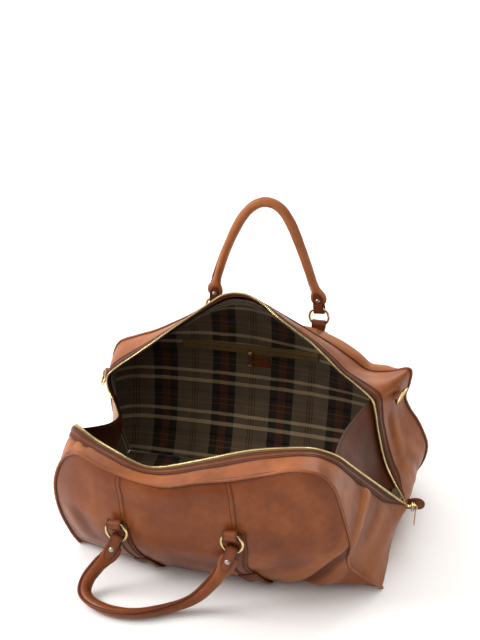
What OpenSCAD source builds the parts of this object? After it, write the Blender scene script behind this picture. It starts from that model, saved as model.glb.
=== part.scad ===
// Leather weekender bag, resting on its base with the zip mouth wide open.
// The back handle stands up, the front panel slumps forward and its handle lies in front of it.
// X runs along the bag, Y from front to back, Z up. The origin is under the middle of the bag.

/* [Shell] */
// Length of the base
base_length = 490; // [470:5:500]
// Depth of the base from front to back
base_depth = 252; // [244:2:256]
// Thickness of the leather
leather = 2.4; // [1.6:0.1:3]
// Thickness of the lining
lining = 1.2; // [0.8:0.1:1.6]
// Gap between the leather and the lining
lining_gap = 3.2; // [3:0.2:4]
// How far the front panel bulges forward
belly = 34; // [20:1:38]
// How far the back panel bulges backward
back_belly = 58; // [40:1:62]

/* [Zip] */
// Width of the stitched leather facing beside the zip
facing_width = 15; // [12:1:18]
// Width of the zip tape that shows past the facing
tape_width = 5; // [4:0.5:7]
// Width of the row of teeth
teeth_width = 3; // [2:0.5:3.5]

/* [Handles] */
// Diameter of a padded handle
handle_d = 19; // [16:1:20]
// Diameter of the rope core inside a handle
core_d = 11; // [8:1:12]
// Radius of a ring to the middle of its wire
ring_radius = 16.5; // [16:0.5:18]
// Diameter of the ring wire
wire_d = 4.4; // [3.6:0.2:4.6]
// Width of the leather tab that holds a ring
tab_width = 22; // [18:1:23]

/* [Strap rings] */
// Length of the straight bar of a D ring
d_bar = 38; // [30:1:42]
// Diameter of the D ring wire
d_wire = 4; // [3:0.5:4.5]

/* [Hidden] */
$fn = 48;
half_length = base_length / 2;
front_y = -base_depth / 2;
back_y = base_depth / 2;
centre = [0, -10, 105];
side_steps = 10;
top_steps = 16;
gusset_steps = 3;
end_steps = 2;
zip_side_steps = side_steps - end_steps;

// Both ends of the zip, where its two halves meet low on the end panels
zip_end_right = [270, 0, 64];
zip_end_left = [-246, -4, 66];
foot_right = [half_length + 5, 0, 2];
foot_left = [-half_length - 5, 0, 2];

front_right_corner = [half_length, front_y, 2];
front_left_corner = [-half_length, front_y, 2];
back_right_corner = [half_length, back_y, 2];
back_left_corner = [-half_length, back_y, 2];

// Seam round the front panel, from its lower right corner over the top to its lower left corner
front_seam = [front_right_corner, [224, -140, 28], [198, -152, 56], [192, -166, 88],
    [196, -176, 122], [184, -180, 176], [168, -182, 228], [148, -184, 252],
    [112, -187, 256], [70, -188, 242], [20, -188, 224], [-30, -188, 211], [-78, -188, 196],
    [-130, -184, 198], [-178, -176, 207], [-216, -164, 215],
    [-240, -155, 200], [-258, -149, 170], [-268, -146, 130], [-266, -142, 80], [-254, -134, 30],
    front_left_corner];
front_seam_bends = [7, 15];

// Seam round the back panel, in the same order
back_seam = [back_right_corner, [280, 133, 38], [292, 137, 84], [275, 138, 130],
    [248, 136, 176], [252, 140, 208], [250, 142, 234],
    [220, 142, 226], [184, 142, 223], [134, 142, 256], [56, 142, 299],
    [-20, 142, 336], [-70, 142, 326], [-130, 142, 286], [-190, 140, 252], [-246, 138, 228],
    [-262, 135, 190], [-270, 133, 130], [-266, 131, 70], [-254, 129, 28], back_left_corner];
back_seam_bends = [6, 15];

// Free edges of the two halves of the open mouth, and the points that face the bends of the seams
front_mouth = [zip_end_right, [234, -38, 121], [196, -75, 178], [162, -108, 229], [138, -120, 245],
    [110, -130, 252], [38, -136, 240], [-38, -138, 211], [-92, -138, 191], [-124, -136, 186],
    [-156, -132, 195], [-204, -124, 214], [-238, -108, 224], [-256, -76, 196], [-256, -38, 128],
    zip_end_left];
front_mouth_bends = [4, 11];
back_mouth = [zip_end_right, [230, 22, 122], [208, 40, 192], [197, 50, 227], [143, 68, 261],
    [98, 80, 298], [42, 90, 332], [10, 93, 357], [-42, 95, 370], [-116, 85, 316], [-190, 68, 256],
    [-228, 58, 227], [-246, 48, 203], [-232, 44, 160], [-222, 30, 116], zip_end_left];
back_mouth_bends = [3, 11];

// Middle points of the two handles between their rings, from left to right
front_handle_points = [[-164, -207, 66], [-186, -217, 44], [-202, -226, 25],
    [-204, -240, 13], [-186, -255, 10], [-148, -266, 10], [-106, -262, 10], [-62, -245, 13],
    [-26, -231, 26], [0, -223, 54], [18, -216, 84]];
back_handle_points = [[-93, 190, 326], [-86, 190, 360], [-72, 191, 405],
    [-50, 192, 453], [-28, 192, 479], [-4, 192, 489], [19, 192, 481], [38, 191, 455],
    [56, 191, 412], [76, 190, 358], [88, 190, 326]];

// Ring centres, and how far the hinge lines of a ring are from its centre
front_left_ring = [-153.5, -198, 104];
front_right_ring = [27, -211, 127];
back_left_ring = [-91, 197, 285];
back_right_ring = [91, 188, 289];
pivot_inset = 2.5;
pivot_reach = ring_radius - pivot_inset;

front_rings = [front_left_ring, front_right_ring];
back_rings = [back_left_ring, back_right_ring];
loop_bore = ring_radius - sqrt(ring_radius * ring_radius - tab_width * tab_width / 4);
loop_bore_r = max(pivot_inset, loop_bore - pivot_inset) + wire_d / 2 + 0.5;
loop_wall = 2.2;
tab_tongue = 18;

// D rings on the end gussets
right_d_at = [239.5, 91.5, 209];
left_d_at = [-261, 88, 190];

// Inside pocket on the back lining: shares along the back panel and heights of its zip
pocket_u = [0.29, 0.78];
pocket_z = 211;
pocket_sag = 100;
pocket_steps = 12;
pocket_depth = 7.8;
pocket_slider_u = 0.55;
patch_u = [0.49, 0.545];

span_steps = 8;
corner_r = 14;
piping_r = 2.4;
fold_steps = 6;
fold_inset = 9;
fold_sag = 14;
strap_steps = 10;
strap_half = 0.028;
strap_rise = 0.2;
handle_steps = 30;
loop_width = 17;
collar_r1 = 7.6;
collar_r2 = 10.6;
collar_length = 18;
rivet_along = 16;
rivet_out = 11;
d_bore_r = d_wire / 2 + 0.4;
d_tab_width = 24;
d_tongue = 9;
right_d_turn = 78;
right_d_rise = 62;
left_d_turn = 286;
left_d_rise = -65;
puller_drop = 33;

tan_leather = "#a5623c";
dark_leather = "#7a4327";
brass = "#dcc892";
plaid = "#6b5a48";
tape_cloth = "#8a6a3a";

// ---- curves ----

function spline_point(a, b, c, d, t) =
    0.5 * (2 * b + (c - a) * t + (2 * a - 5 * b + 4 * c - d) * t * t
        + (3 * b - a - 3 * c + d) * t * t * t);

// Points of a smooth curve from control point a to control point b, with spans cut in even shares
function dense(p, a, b) = [for (i = [a : b]) for (j = [0 : (i < b ? span_steps - 1 : 0)])
    i == b ? p[b] : spline_point(p[max(i - 1, 0)], p[i], p[i + 1], p[min(i + 2, len(p) - 1)],
        j / span_steps)];

function lengths(q) = [for (i = 0, s = 0; i < len(q);
    s = s + (i + 1 < len(q) ? norm(q[i + 1] - q[i]) : 0), i = i + 1) s];

// n + 1 evenly spaced points of the smooth curve through p, from control point a to b
function stretch(p, a, b, n) =
    let (q = dense(p, a, b), s = lengths(q), last = len(q) - 1)
    [for (k = [0 : n]) k == 0 ? q[0] : k == n ? q[last]
        : [for (axis = [0 : 2]) lookup(s[last] * k / n, [for (i = [0 : last]) [s[i], q[i][axis]]])]];

function curve(p, n) = stretch(p, 0, len(p) - 1, n);

// The three stretches of an edge, cut at its two bends
function edge_stretches(p, bends, side_n, top_n) = [
    stretch(p, 0, bends[0], side_n),
    stretch(p, bends[0], bends[1], top_n),
    stretch(p, bends[1], len(p) - 1, side_n)];

function line(a, b, n) = [for (k = [0 : n]) a + (b - a) * k / n];
function tail(p) = [for (i = [1 : len(p) - 1]) p[i]];
function unit(v) = v / norm(v);
function joined(parts) = concat(parts[0], tail(parts[1]), tail(parts[2]));

// ---- surfaces: a grid is a list of rows of points ----

function inward(p) = unit(centre - p);

// Patch inside four edges that bulges along aim; lobe under 1 puts the bulge low, over 1 puts it high,
// and a low fullness makes it boxy
function coons(low, high, left, right, bulge, aim, lobe, fullness) =
    let (n = len(low) - 1, m = len(left) - 1)
    [for (j = [0 : m]) let (v = j / m)
        [for (i = [0 : n]) let (u = i / n,
            p = (1 - v) * low[i] + v * high[i] + (1 - u) * left[j] + u * right[j]
                - (1 - u) * (1 - v) * low[0] - u * (1 - v) * low[n]
                - (1 - u) * v * high[0] - u * v * high[n],
            q = p + aim * bulge * pow(sin(180 * u) * sin(180 * pow(v, lobe)), fullness))
            [q.x, q.y, max(q.z, 0)]]];

// A point of a grid at a share along its rows and columns
function on_grid(grid, u, v) =
    let (n = len(grid[0]) - 1, m = len(grid) - 1,
        i = min(floor(u * n), n - 1), j = min(floor(v * m), m - 1), s = u * n - i, t = v * m - j)
    grid[j][i] * (1 - s) * (1 - t) + grid[j][i + 1] * s * (1 - t)
        + grid[j + 1][i] * (1 - s) * t + grid[j + 1][i + 1] * s * t;

// Rows from one edge curve to another, swelling outward between them
function strip(a, b, m, swell) =
    [for (j = [0 : m]) let (v = j / m)
        [for (i = [0 : len(a) - 1]) let (p = a[i] + (b[i] - a[i]) * v)
            p - inward(p) * swell * sin(180 * v)]];

// Closed wall between two depths below a surface
module wall(grid, outer, inner) {
    rows = len(grid);
    cols = len(grid[0]);
    count = rows * cols;
    skin = [for (depth = [outer, inner]) for (row = grid) for (p = row) p + inward(p) * depth];
    faces = concat(
        [for (j = [0 : rows - 2]) for (i = [0 : cols - 2]) let (a = j * cols + i)
            each [[a, a + 1, a + cols + 1], [a, a + cols + 1, a + cols]]],
        [for (j = [0 : rows - 2]) for (i = [0 : cols - 2]) let (a = count + j * cols + i)
            each [[a, a + cols + 1, a + 1], [a, a + cols, a + cols + 1]]],
        [for (i = [0 : cols - 2]) each [[i, i + count + 1, i + 1], [i, i + count, i + count + 1]]],
        [for (i = [0 : cols - 2]) let (a = (rows - 1) * cols + i)
            each [[a, a + 1, a + count + 1], [a, a + count + 1, a + count]]],
        [for (j = [0 : rows - 2]) let (a = j * cols)
            each [[a, a + cols, a + cols + count], [a, a + cols + count, a + count]]],
        [for (j = [0 : rows - 2]) let (a = j * cols + cols - 1)
            each [[a, a + cols + count, a + cols], [a, a + count, a + cols + count]]]);
    polyhedron(skin, faces);
}

// Tube swept along points: every ring is a regular polygon across the path
module tube(p, radius, sides) {
    last = len(p) - 1;
    rings = [for (i = [0 : last]) let (
        along = unit(p[min(i + 1, last)] - p[max(i - 1, 0)]),
        side = unit(cross(along, [0.13, 0.97, 0.2])),
        up = cross(side, along))
        for (k = [0 : sides - 1])
            p[i] + radius * (side * cos(360 * k / sides) + up * sin(360 * k / sides))];
    faces = concat(
        [[for (k = [0 : sides - 1]) k]],
        [for (i = [0 : last - 1]) for (k = [0 : sides - 1])
            let (a = i * sides + k, b = i * sides + (k + 1) % sides)
            each [[a, a + sides, b + sides], [a, b + sides, b]]],
        [[for (k = [0 : sides - 1]) last * sides + sides - 1 - k]]);
    polyhedron(rings, faces);
}

function reversed(p) = [for (i = [len(p) - 1 : -1 : 0]) p[i]];

// ---- seams and grids of the shell ----

front_parts = edge_stretches(front_seam, front_seam_bends, side_steps, top_steps);
back_parts = edge_stretches(back_seam, back_seam_bends, side_steps, top_steps);
front_edge = joined(front_parts);
back_edge = joined(back_parts);
front_zip_line = joined(edge_stretches(front_mouth, front_mouth_bends, zip_side_steps, top_steps));
back_zip_line = joined(edge_stretches(back_mouth, back_mouth_bends, zip_side_steps, top_steps));

function with_feet(zip_line) = concat(line(foot_right, zip_end_right, end_steps), tail(zip_line),
    tail(line(zip_end_left, foot_left, end_steps)));
front_rim = with_feet(front_zip_line);
back_rim = with_feet(back_zip_line);

// A line beside the rim, toward the seam, at the given distance, easing to nothing past the zip ends
function beside(rim, edge, distance) =
    [for (i = [0 : len(rim) - 1]) let (
        inside = min(i - end_steps, len(rim) - 1 - end_steps - i),
        share = inside <= 0 ? 0 : inside >= 2 ? 1 : inside / 2)
        rim[i] + unit(edge[i] - rim[i]) * distance * share];

front_tape_line = beside(front_rim, front_edge, tape_width);
back_tape_line = beside(back_rim, back_edge, tape_width);
front_facing_line = beside(front_rim, front_edge, tape_width + facing_width);
back_facing_line = beside(back_rim, back_edge, tape_width + facing_width);

function zip_part(rows) = [for (row = rows) [for (i = [end_steps : len(row) - 1 - end_steps]) row[i]]];

front_panel_grid = coons(line(front_right_corner, front_left_corner, top_steps),
    front_parts[1], front_parts[0], reversed(front_parts[2]), belly, [0, -1, -0.3], 0.7, 0.6);
back_panel_grid = coons(line(back_right_corner, back_left_corner, top_steps),
    back_parts[1], back_parts[0], reversed(back_parts[2]), back_belly, [0, 1, 0.05], 1.4, 0.42);
front_gusset_grid = strip(front_edge, front_facing_line, gusset_steps, 2);
back_gusset_grid = strip(back_edge, back_facing_line, gusset_steps, 2);

inner_skin = leather + lining_gap;

// ---- shell ----

function piping_line(edge) = [for (p = edge) let (q = p - inward(p))
    [q.x, q.y, max(q.z, piping_r + 0.1)]];
module front_panel() color(tan_leather) wall(front_panel_grid, 0, leather);
module back_panel() color(tan_leather) wall(back_panel_grid, 0, leather);
module plate(inset, z, thickness) translate([0, 0, z]) linear_extrude(thickness) {
    square([base_length - 2 * inset - 2 * corner_r, base_depth - 2 * inset], center = true);
    square([base_length - 2 * inset, base_depth - 2 * inset - 2 * corner_r], center = true);
    for (x = [-1, 1]) for (y = [-1, 1])
        translate([x * (half_length - inset - corner_r), y * (back_y - inset - corner_r)])
            circle(r = corner_r);
}
module base_panel() color(dark_leather) plate(2.5, 0, 2.2);
module front_gusset() color(tan_leather) wall(front_gusset_grid, 0, leather);
module back_gusset() color(tan_leather) wall(back_gusset_grid, 0, leather);
module front_zip_facing() color(dark_leather)
    wall(zip_part([front_facing_line, front_tape_line]), 0, leather);
module back_zip_facing() color(dark_leather)
    wall(zip_part([back_facing_line, back_tape_line]), 0, leather);
module front_zip_tape() color(tape_cloth) wall(zip_part([front_tape_line, front_rim]), 0.4, 1.4);
module back_zip_tape() color(tape_cloth) wall(zip_part([back_tape_line, back_rim]), 0.4, 1.4);
module front_zip_teeth() color(brass) tube(front_zip_line, teeth_width / 2, 4);
module back_zip_teeth() color(brass) tube(back_zip_line, teeth_width / 2, 4);
module front_piping() color(dark_leather) tube(piping_line(front_edge), piping_r, 6);
module back_piping() color(dark_leather) tube(piping_line(back_edge), piping_r, 6);

// ---- lining ----

module front_lining() color(plaid) wall(front_panel_grid, inner_skin, inner_skin + lining);
module back_lining() color(plaid) wall(back_panel_grid, inner_skin, inner_skin + lining);
module base_lining() color(plaid) plate(8, 6, lining);
module front_gusset_lining() color(plaid) wall(front_gusset_grid, inner_skin, inner_skin + lining);
module back_gusset_lining() color(plaid) wall(back_gusset_grid, inner_skin, inner_skin + lining);
module base_board() color("#4b4038") plate(9, 3, 2.4);

// ---- inner gussets: leather folds that stop the mouth from opening further ----

function moved_in(p, d) = [for (q = tail(p)) q + inward(q) * d];
right_fold = strip(moved_in(curve([for (i = [0 : 3]) front_mouth[i]], fold_steps), fold_inset),
    moved_in(curve([for (i = [0 : 3]) back_mouth[i]], fold_steps), fold_inset), 4, -fold_sag);
left_fold = strip(moved_in(curve([zip_end_left, [-256, -38, 128], [-256, -76, 196], [-240, -106, 222]],
    fold_steps), fold_inset),
    moved_in(curve([zip_end_left, [-236, 12, 92], [-222, 30, 116]], fold_steps), fold_inset), 4, -fold_sag);
module right_inner_gusset() color(dark_leather) wall(right_fold, 0, 1.6);
module left_inner_gusset() color(dark_leather) wall(left_fold, 0, 1.6);

// ---- pocket in the back lining ----

// A point of the back panel at a share along it and a height
function back_at(u, z) = let (m = len(back_panel_grid) - 1)
    on_grid(back_panel_grid, u,
        lookup(z, [for (j = [0 : m]) [on_grid(back_panel_grid, u, j / m).z, j / m]]));

// Rows of the back panel beside the line of the pocket's zip, from one height above it to another
function pocket_rows(ends, low, high) =
    [for (h = [low, high]) [for (k = [0 : pocket_steps])
        let (u = ends[0] + (ends[1] - ends[0]) * k / pocket_steps)
        back_at(u, pocket_z + pocket_sag * pow(u - 0.52, 2) + h)]];

module pocket_zip_tape() color(tape_cloth)
    wall(pocket_rows(pocket_u, -10, 10), pocket_depth, pocket_depth + 1);
module pocket_zip_teeth() color(brass)
    wall(pocket_rows(pocket_u, -2, 2), pocket_depth + 1, pocket_depth + 2.2);
module pocket_patch() color(dark_leather)
    wall(pocket_rows(patch_u, -34, -11), pocket_depth, pocket_depth + 1.8);
// The pouch hangs between the leather and the lining
module pocket_pouch() color(plaid)
    wall([for (j = [3 : 7]) [for (i = [5 : 12]) back_panel_grid[j][i]]], leather + 0.6, leather + 2.2);
pocket_slider_at = let (p = back_at(pocket_slider_u, pocket_z)) p + inward(p) * (pocket_depth + 5.4);
module pocket_slider() color(brass) translate(pocket_slider_at) difference() {
    union() {
        translate([-5, -1.2, -4]) cube([10, 2.4, 8]);
        translate([-1.4, -5, -1.8]) cube([2.8, 4, 3.6]);
    }
    translate([0, -3.2, 0]) rotate([0, 90, 0]) cylinder(r = 1.1, h = 4, center = true);
}
module pocket_puller() color(brass) translate(pocket_slider_at + [0, -3.2, 0]) wire_frame(7, 24, 1.5);
module pocket_pull_leather() color(dark_leather)
    translate(pocket_slider_at + [-2.7, -3.8, -22]) cube([5.4, 1.2, 16]);

// Rectangular wire loop that hangs from the middle of its top bar, in the XZ plane
module wire_frame(width, drop, wire) {
    for (side = [-1, 1]) translate([side * (width - wire) / 2, 0, -drop]) cylinder(d = wire, h = drop);
    for (z = [0, -drop]) translate([-width / 2, 0, z]) rotate([0, 90, 0]) cylinder(d = wire, h = width);
}

// ---- straps and ring tabs ----

function strap_grid(grid, low_u, high_u, low_v, high_v) =
    [for (j = [0 : strap_steps]) let (t = j / strap_steps)
        [for (side = [-1, 0, 1])
            on_grid(grid, low_u + (high_u - low_u) * t + side * strap_half, low_v + (high_v - low_v) * t)]];

module strap(grid) color(dark_leather) wall(grid, -strap_rise - 1.6, -strap_rise);
module front_left_strap() strap(strap_grid(front_panel_grid, 0.69, 0.75, 0.1, 0.57));
module front_right_strap() strap(strap_grid(front_panel_grid, 0.355, 0.36, 0.09, 0.63));
module back_left_strap() strap(strap_grid(back_panel_grid, 0.685, 0.66, 0.04, 0.82));
module back_right_strap() strap(strap_grid(back_panel_grid, 0.325, 0.315, 0.05, 0.92));

// Turns children so that their X axis runs along the line between a pair of rings
module along(pair) {
    run = pair[1] - pair[0];
    rotate([0, -atan2(run.z, norm([run.x, run.y])), atan2(run.y, run.x)]) children();
}
module at_ring(pair, which) translate(pair[which]) along(pair) children();

// Leather rolled round a bar along X, with a flat tongue that hangs from it on one side
module roll(width, bore_r, tongue, side) difference() {
    union() {
        rotate([0, 90, 0]) cylinder(r = bore_r + loop_wall, h = width, center = true);
        translate([-width / 2, side > 0 ? bore_r : -bore_r - loop_wall, -tongue])
            cube([width, loop_wall, tongue]);
    }
    rotate([0, 90, 0]) cylinder(r = bore_r, h = width + 2, center = true);
}

module ring_tab(pair, which, end, side) color(dark_leather) at_ring(pair, which)
    translate([0, 0, end * pivot_reach]) roll(tab_width, loop_bore_r, tab_tongue, side);
module front_left_ring_tab() ring_tab(front_rings, 0, 1, 1);
module front_right_ring_tab() ring_tab(front_rings, 1, 1, 1);
module back_left_ring_tab() ring_tab(back_rings, 0, -1, -1);
module back_right_ring_tab() ring_tab(back_rings, 1, -1, -1);

module ring(pair, which) color(brass) at_ring(pair, which) rotate([90, 0, 0])
    rotate_extrude() translate([ring_radius, 0]) circle(d = wire_d);
module front_left_ring() ring(front_rings, 0);
module front_right_ring() ring(front_rings, 1);
module back_left_ring() ring(back_rings, 0);
module back_right_ring() ring(back_rings, 1);

// ---- handles ----

// Hollow tube along points
module sleeve(p, outer_r, inner_r, sides) {
    last = len(p) - 1;
    count = (last + 1) * sides;
    rings = [for (r = [outer_r, inner_r]) for (i = [0 : last]) let (
        along = unit(p[min(i + 1, last)] - p[max(i - 1, 0)]),
        side = unit(cross(along, [0.13, 0.97, 0.2])),
        up = cross(side, along))
        for (k = [0 : sides - 1]) p[i] + r * (side * cos(360 * k / sides) + up * sin(360 * k / sides))];
    faces = concat(
        [for (i = [0 : last - 1]) for (k = [0 : sides - 1])
            let (a = i * sides + k, b = i * sides + (k + 1) % sides)
            each [[a, a + sides, b + sides], [a, b + sides, b],
                [count + a, count + b + sides, count + a + sides],
                [count + a, count + b, count + b + sides]]],
        [for (k = [0 : sides - 1]) let (a = k, b = (k + 1) % sides)
            each [[a, b, count + b], [a, count + b, count + a]]],
        [for (k = [0 : sides - 1]) let (a = last * sides + k, b = last * sides + (k + 1) % sides)
            each [[a, count + b, b], [a, count + a, count + b]]]);
    polyhedron(rings, faces);
}

// The line of a handle from hinge to hinge, at its lower or upper end of the rings
function handle_line(pair, points, end) =
    curve(concat([pair[0] + [0, 0, end * pivot_reach]], points, [pair[1] + [0, 0, end * pivot_reach]]),
        handle_steps);
front_line = handle_line(front_rings, front_handle_points, -1);
back_line = handle_line(back_rings, back_handle_points, 1);
function grip(path) = [for (i = [1 : handle_steps - 1]) path[i]];

// Turns children so that their Z axis points along a direction
module toward(v) rotate([0, atan2(norm([v.x, v.y]), v.z), atan2(v.y, v.x)]) children();

// Leather collars that join the ends of a handle to its rings
module loops(pair, path, end) color(dark_leather)
    for (which = [0, 1]) difference() {
        union() {
            at_ring(pair, which) translate([0, 0, end * pivot_reach]) rotate([0, 90, 0])
                cylinder(r = loop_bore_r + loop_wall, h = loop_width, center = true);
            translate(path[which * handle_steps])
                toward(path[which * (handle_steps - 4) + 2] - path[which * handle_steps])
                translate([0, 0, loop_bore_r])
                cylinder(r1 = collar_r1, r2 = collar_r2, h = collar_length);
        }
        at_ring(pair, which) translate([0, 0, end * pivot_reach]) rotate([0, 90, 0])
            cylinder(r = loop_bore_r, h = collar_r2 * 3, center = true);
    }

front_grip = grip(front_line);
back_grip = grip(back_line);
module handle_cover(path) color(tan_leather) sleeve(path, handle_d / 2, core_d / 2 + 0.4, 10);
module handle_core(path) color("#c9b38a") tube([for (i = [1 : len(path) - 2]) path[i]], core_d / 2, 8);
module handle_rivets(path) color("#9c9a94") for (which = [0, 1])
    let (root = path[which * handle_steps], next = path[which * (handle_steps - 4) + 2])
    translate(root + unit(next - root) * rivet_along - [0, rivet_out, 0])
    rotate([-90, 0, 0]) cylinder(d = 7, h = 2.8);
module front_handle_cover() handle_cover(front_grip);
module front_handle_core() handle_core(front_grip);
module front_handle_rivets() handle_rivets(front_line);
module front_handle_loops() loops(front_rings, front_line, -1);
module back_handle_cover() handle_cover(back_grip);
module back_handle_core() handle_core(back_grip);
module back_handle_rivets() handle_rivets(back_line);
module back_handle_loops() loops(back_rings, back_line, 1);

// ---- D rings at the ends ----

module d_ring(at, turn, rise) color(brass) translate(at) rotate([0, 0, turn]) rotate([-rise, 0, 0]) {
    rotate([0, 90, 0]) cylinder(d = d_wire, h = d_bar, center = true);
    for (side = [-1, 1]) translate([side * d_bar / 2, 0, 0])
        cylinder(d = d_wire + 1, h = d_wire + 1, center = true);
    rotate([0, 0, 180]) rotate_extrude(angle = 180) translate([d_bar / 2, 0]) circle(d = d_wire);
}
module d_tab(at, turn) color(dark_leather) translate(at) rotate([0, 0, turn]) rotate([0, 90, 0])
    difference() {
        union() {
            cylinder(r = d_bore_r + loop_wall, h = d_tab_width, center = true);
            translate([-d_bore_r - loop_wall, 0, -d_tab_width / 2])
                cube([loop_wall, d_tongue, d_tab_width]);
        }
        cylinder(r = d_bore_r, h = d_tab_width + 2, center = true);
    }
module right_d_ring() d_ring(right_d_at, right_d_turn, right_d_rise);
module left_d_ring() d_ring(left_d_at, left_d_turn, left_d_rise);
module right_d_ring_tab() d_tab(right_d_at, right_d_turn);
module left_d_ring_tab() d_tab(left_d_at, left_d_turn);

// ---- zip ends and slider ----

module end_tab(at, side) color(dark_leather) translate(at) rotate([90, 0, 0])
    linear_extrude(2.4) {
        translate([side > 0 ? 0 : -12, -12]) square([12, 24]);
        translate([side * 12, 0]) circle(d = 24);
    }
module right_zip_end_tab() end_tab(zip_end_right + [4, 12, -2], 1);
module left_zip_end_tab() end_tab(zip_end_left + [-6, 12, -2], -1);
slider_at = zip_end_right + [9, 0, -1];
module zip_slider() color(brass) translate(slider_at) difference() {
    union() {
        translate([-2.5, -5, -6]) cube([5, 10, 12]);
        translate([2, -2, -2.6]) cube([6, 4, 5.2]);
    }
    translate([5.2, 0, 0]) rotate([90, 0, 0]) cylinder(r = 1.4, h = 6, center = true);
}
module zip_puller() color(brass) translate(slider_at + [5.2, 0, 0]) rotate([0, 0, 90])
    wire_frame(14, puller_drop, 2);
module puller_leather() color(dark_leather)
    translate(slider_at + [4.4, -4.9, -puller_drop + 2]) cube([1.6, 9.8, puller_drop - 10]);

front_panel();
back_panel();
base_panel();
front_gusset();
back_gusset();
front_zip_facing();
back_zip_facing();
front_zip_tape();
back_zip_tape();
front_zip_teeth();
back_zip_teeth();
front_piping();
back_piping();
front_lining();
back_lining();
base_lining();
front_gusset_lining();
back_gusset_lining();
base_board();
right_inner_gusset();
left_inner_gusset();
pocket_zip_tape();
pocket_zip_teeth();
pocket_pouch();
pocket_patch();
front_left_strap();
front_right_strap();
back_left_strap();
back_right_strap();
front_left_ring_tab();
front_right_ring_tab();
back_left_ring_tab();
back_right_ring_tab();
right_d_ring_tab();
left_d_ring_tab();
right_zip_end_tab();
left_zip_end_tab();
front_left_ring();
front_right_ring();
back_left_ring();
back_right_ring();
front_handle_cover();
front_handle_core();
front_handle_rivets();
front_handle_loops();
back_handle_cover();
back_handle_core();
back_handle_rivets();
back_handle_loops();
right_d_ring();
left_d_ring();
zip_slider();
zip_puller();
puller_leather();
pocket_slider();
pocket_puller();
pocket_pull_leather();
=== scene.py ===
"""Leather weekender bag: soft tan leather over a checked lining, with its zip mouth wide open.

Every length in the outlines is in millimetres and becomes metres when a mesh is made. The shell is
lofted from the same seams as the solid parts: rows of points between two panels, two gussets and
the two halves of the zip.
"""

import logging
import math
from dataclasses import dataclass
from enum import Enum
from typing import Optional, Sequence, Union

import bpy
import numpy as np
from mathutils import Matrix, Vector, noise


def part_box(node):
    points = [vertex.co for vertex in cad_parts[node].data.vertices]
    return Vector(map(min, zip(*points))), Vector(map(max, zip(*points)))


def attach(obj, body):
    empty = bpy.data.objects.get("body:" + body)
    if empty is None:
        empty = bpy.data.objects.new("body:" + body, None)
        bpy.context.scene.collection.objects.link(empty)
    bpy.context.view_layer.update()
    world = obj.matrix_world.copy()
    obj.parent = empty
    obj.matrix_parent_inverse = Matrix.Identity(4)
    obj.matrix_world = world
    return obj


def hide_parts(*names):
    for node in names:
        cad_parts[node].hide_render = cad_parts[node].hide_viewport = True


logging.basicConfig(level=logging.INFO, format="%(message)s")
LOG = logging.getLogger("weekender")

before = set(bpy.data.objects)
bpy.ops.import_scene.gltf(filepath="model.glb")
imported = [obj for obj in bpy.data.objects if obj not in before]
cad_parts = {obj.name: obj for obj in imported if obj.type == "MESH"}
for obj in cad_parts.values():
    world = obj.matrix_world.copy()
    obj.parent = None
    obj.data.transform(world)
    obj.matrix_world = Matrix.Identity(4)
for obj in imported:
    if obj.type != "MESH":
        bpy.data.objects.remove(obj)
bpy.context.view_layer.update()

MM = 0.001
REFINE = 8
CENTRE = np.array([0.0, -10.0, 105.0])
LEATHER = 2.4
LINING_DEPTH = 5.6
EYE_RADIUS = 6.3

Tree = bpy.types.NodeTree
Socket = bpy.types.NodeSocket
Value = Union[Socket, float, tuple, "Tone"]
Skin = Union[bpy.types.Material, Sequence[bpy.types.Material]]
Size = Union[float, np.ndarray]


# ---- curves and grids, in millimetres ----


def spline(points: Sequence, first: int, last: int, spans: int) -> np.ndarray:
    """Smooth curve through part of a list of points.

    Args:
        points: Control points.
        first: Index where the curve starts.
        last: Index where the curve ends.
        spans: Steps between two control points.

    Returns:
        Points of the curve, one per row.
    """
    p = np.asarray(points, float)
    t = (np.arange(spans) / spans).reshape((-1,) + (1,) * (p.ndim - 1))
    parts = []
    for i in range(first, last):
        a, b, c, d = p[max(i - 1, 0)], p[i], p[i + 1], p[min(i + 2, len(p) - 1)]
        parts.append(
            0.5 * (2 * b + (c - a) * t + (2 * a - 5 * b + 4 * c - d) * t**2
                   + (3 * b - a - 3 * c + d) * t**3)
        )
    return np.concatenate(parts + [p[last][None]])


def lengths(line: np.ndarray) -> np.ndarray:
    """Distance along a line to each of its points."""
    return np.r_[0, np.cumsum(np.linalg.norm(np.diff(line, axis=0), axis=1))]


def points_at(at: Size, run: np.ndarray, line: np.ndarray) -> np.ndarray:
    """Points of a line at distances along it, where run holds its lengths."""
    return np.stack([np.interp(at, run, line[:, k]) for k in range(line.shape[1])], -1)


def evenly(line: np.ndarray, count: int) -> np.ndarray:
    """Resamples a line at count + 1 evenly spaced points."""
    run = lengths(line)
    return points_at(np.linspace(0, run[-1], count + 1), run, line)


def stretch(points: Sequence, first: int, last: int, count: int) -> np.ndarray:
    """Evenly spaced points of a smooth curve between two of its control points."""
    return evenly(spline(points, first, last, 8), count)


def three_stretches(points: Sequence, bends: Sequence[int], side: int, top: int) -> list:
    """The three parts of an edge, cut at its two bends."""
    return [
        stretch(points, 0, bends[0], side),
        stretch(points, bends[0], bends[1], top),
        stretch(points, bends[1], len(points) - 1, side),
    ]


def joined(parts: Sequence[np.ndarray]) -> np.ndarray:
    """Stretches in one line, without their doubled end points."""
    return np.concatenate([parts[0]] + [part[1:] for part in parts[1:]])


def straight(start: Sequence[float], end: Sequence[float], count: int) -> np.ndarray:
    """Straight line with count + 1 points."""
    return np.linspace(np.asarray(start, float), np.asarray(end, float), count + 1)


def unit(v: np.ndarray) -> np.ndarray:
    """Vectors scaled to length one."""
    return v / np.maximum(np.linalg.norm(v, axis=-1, keepdims=True), 1e-9)


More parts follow.
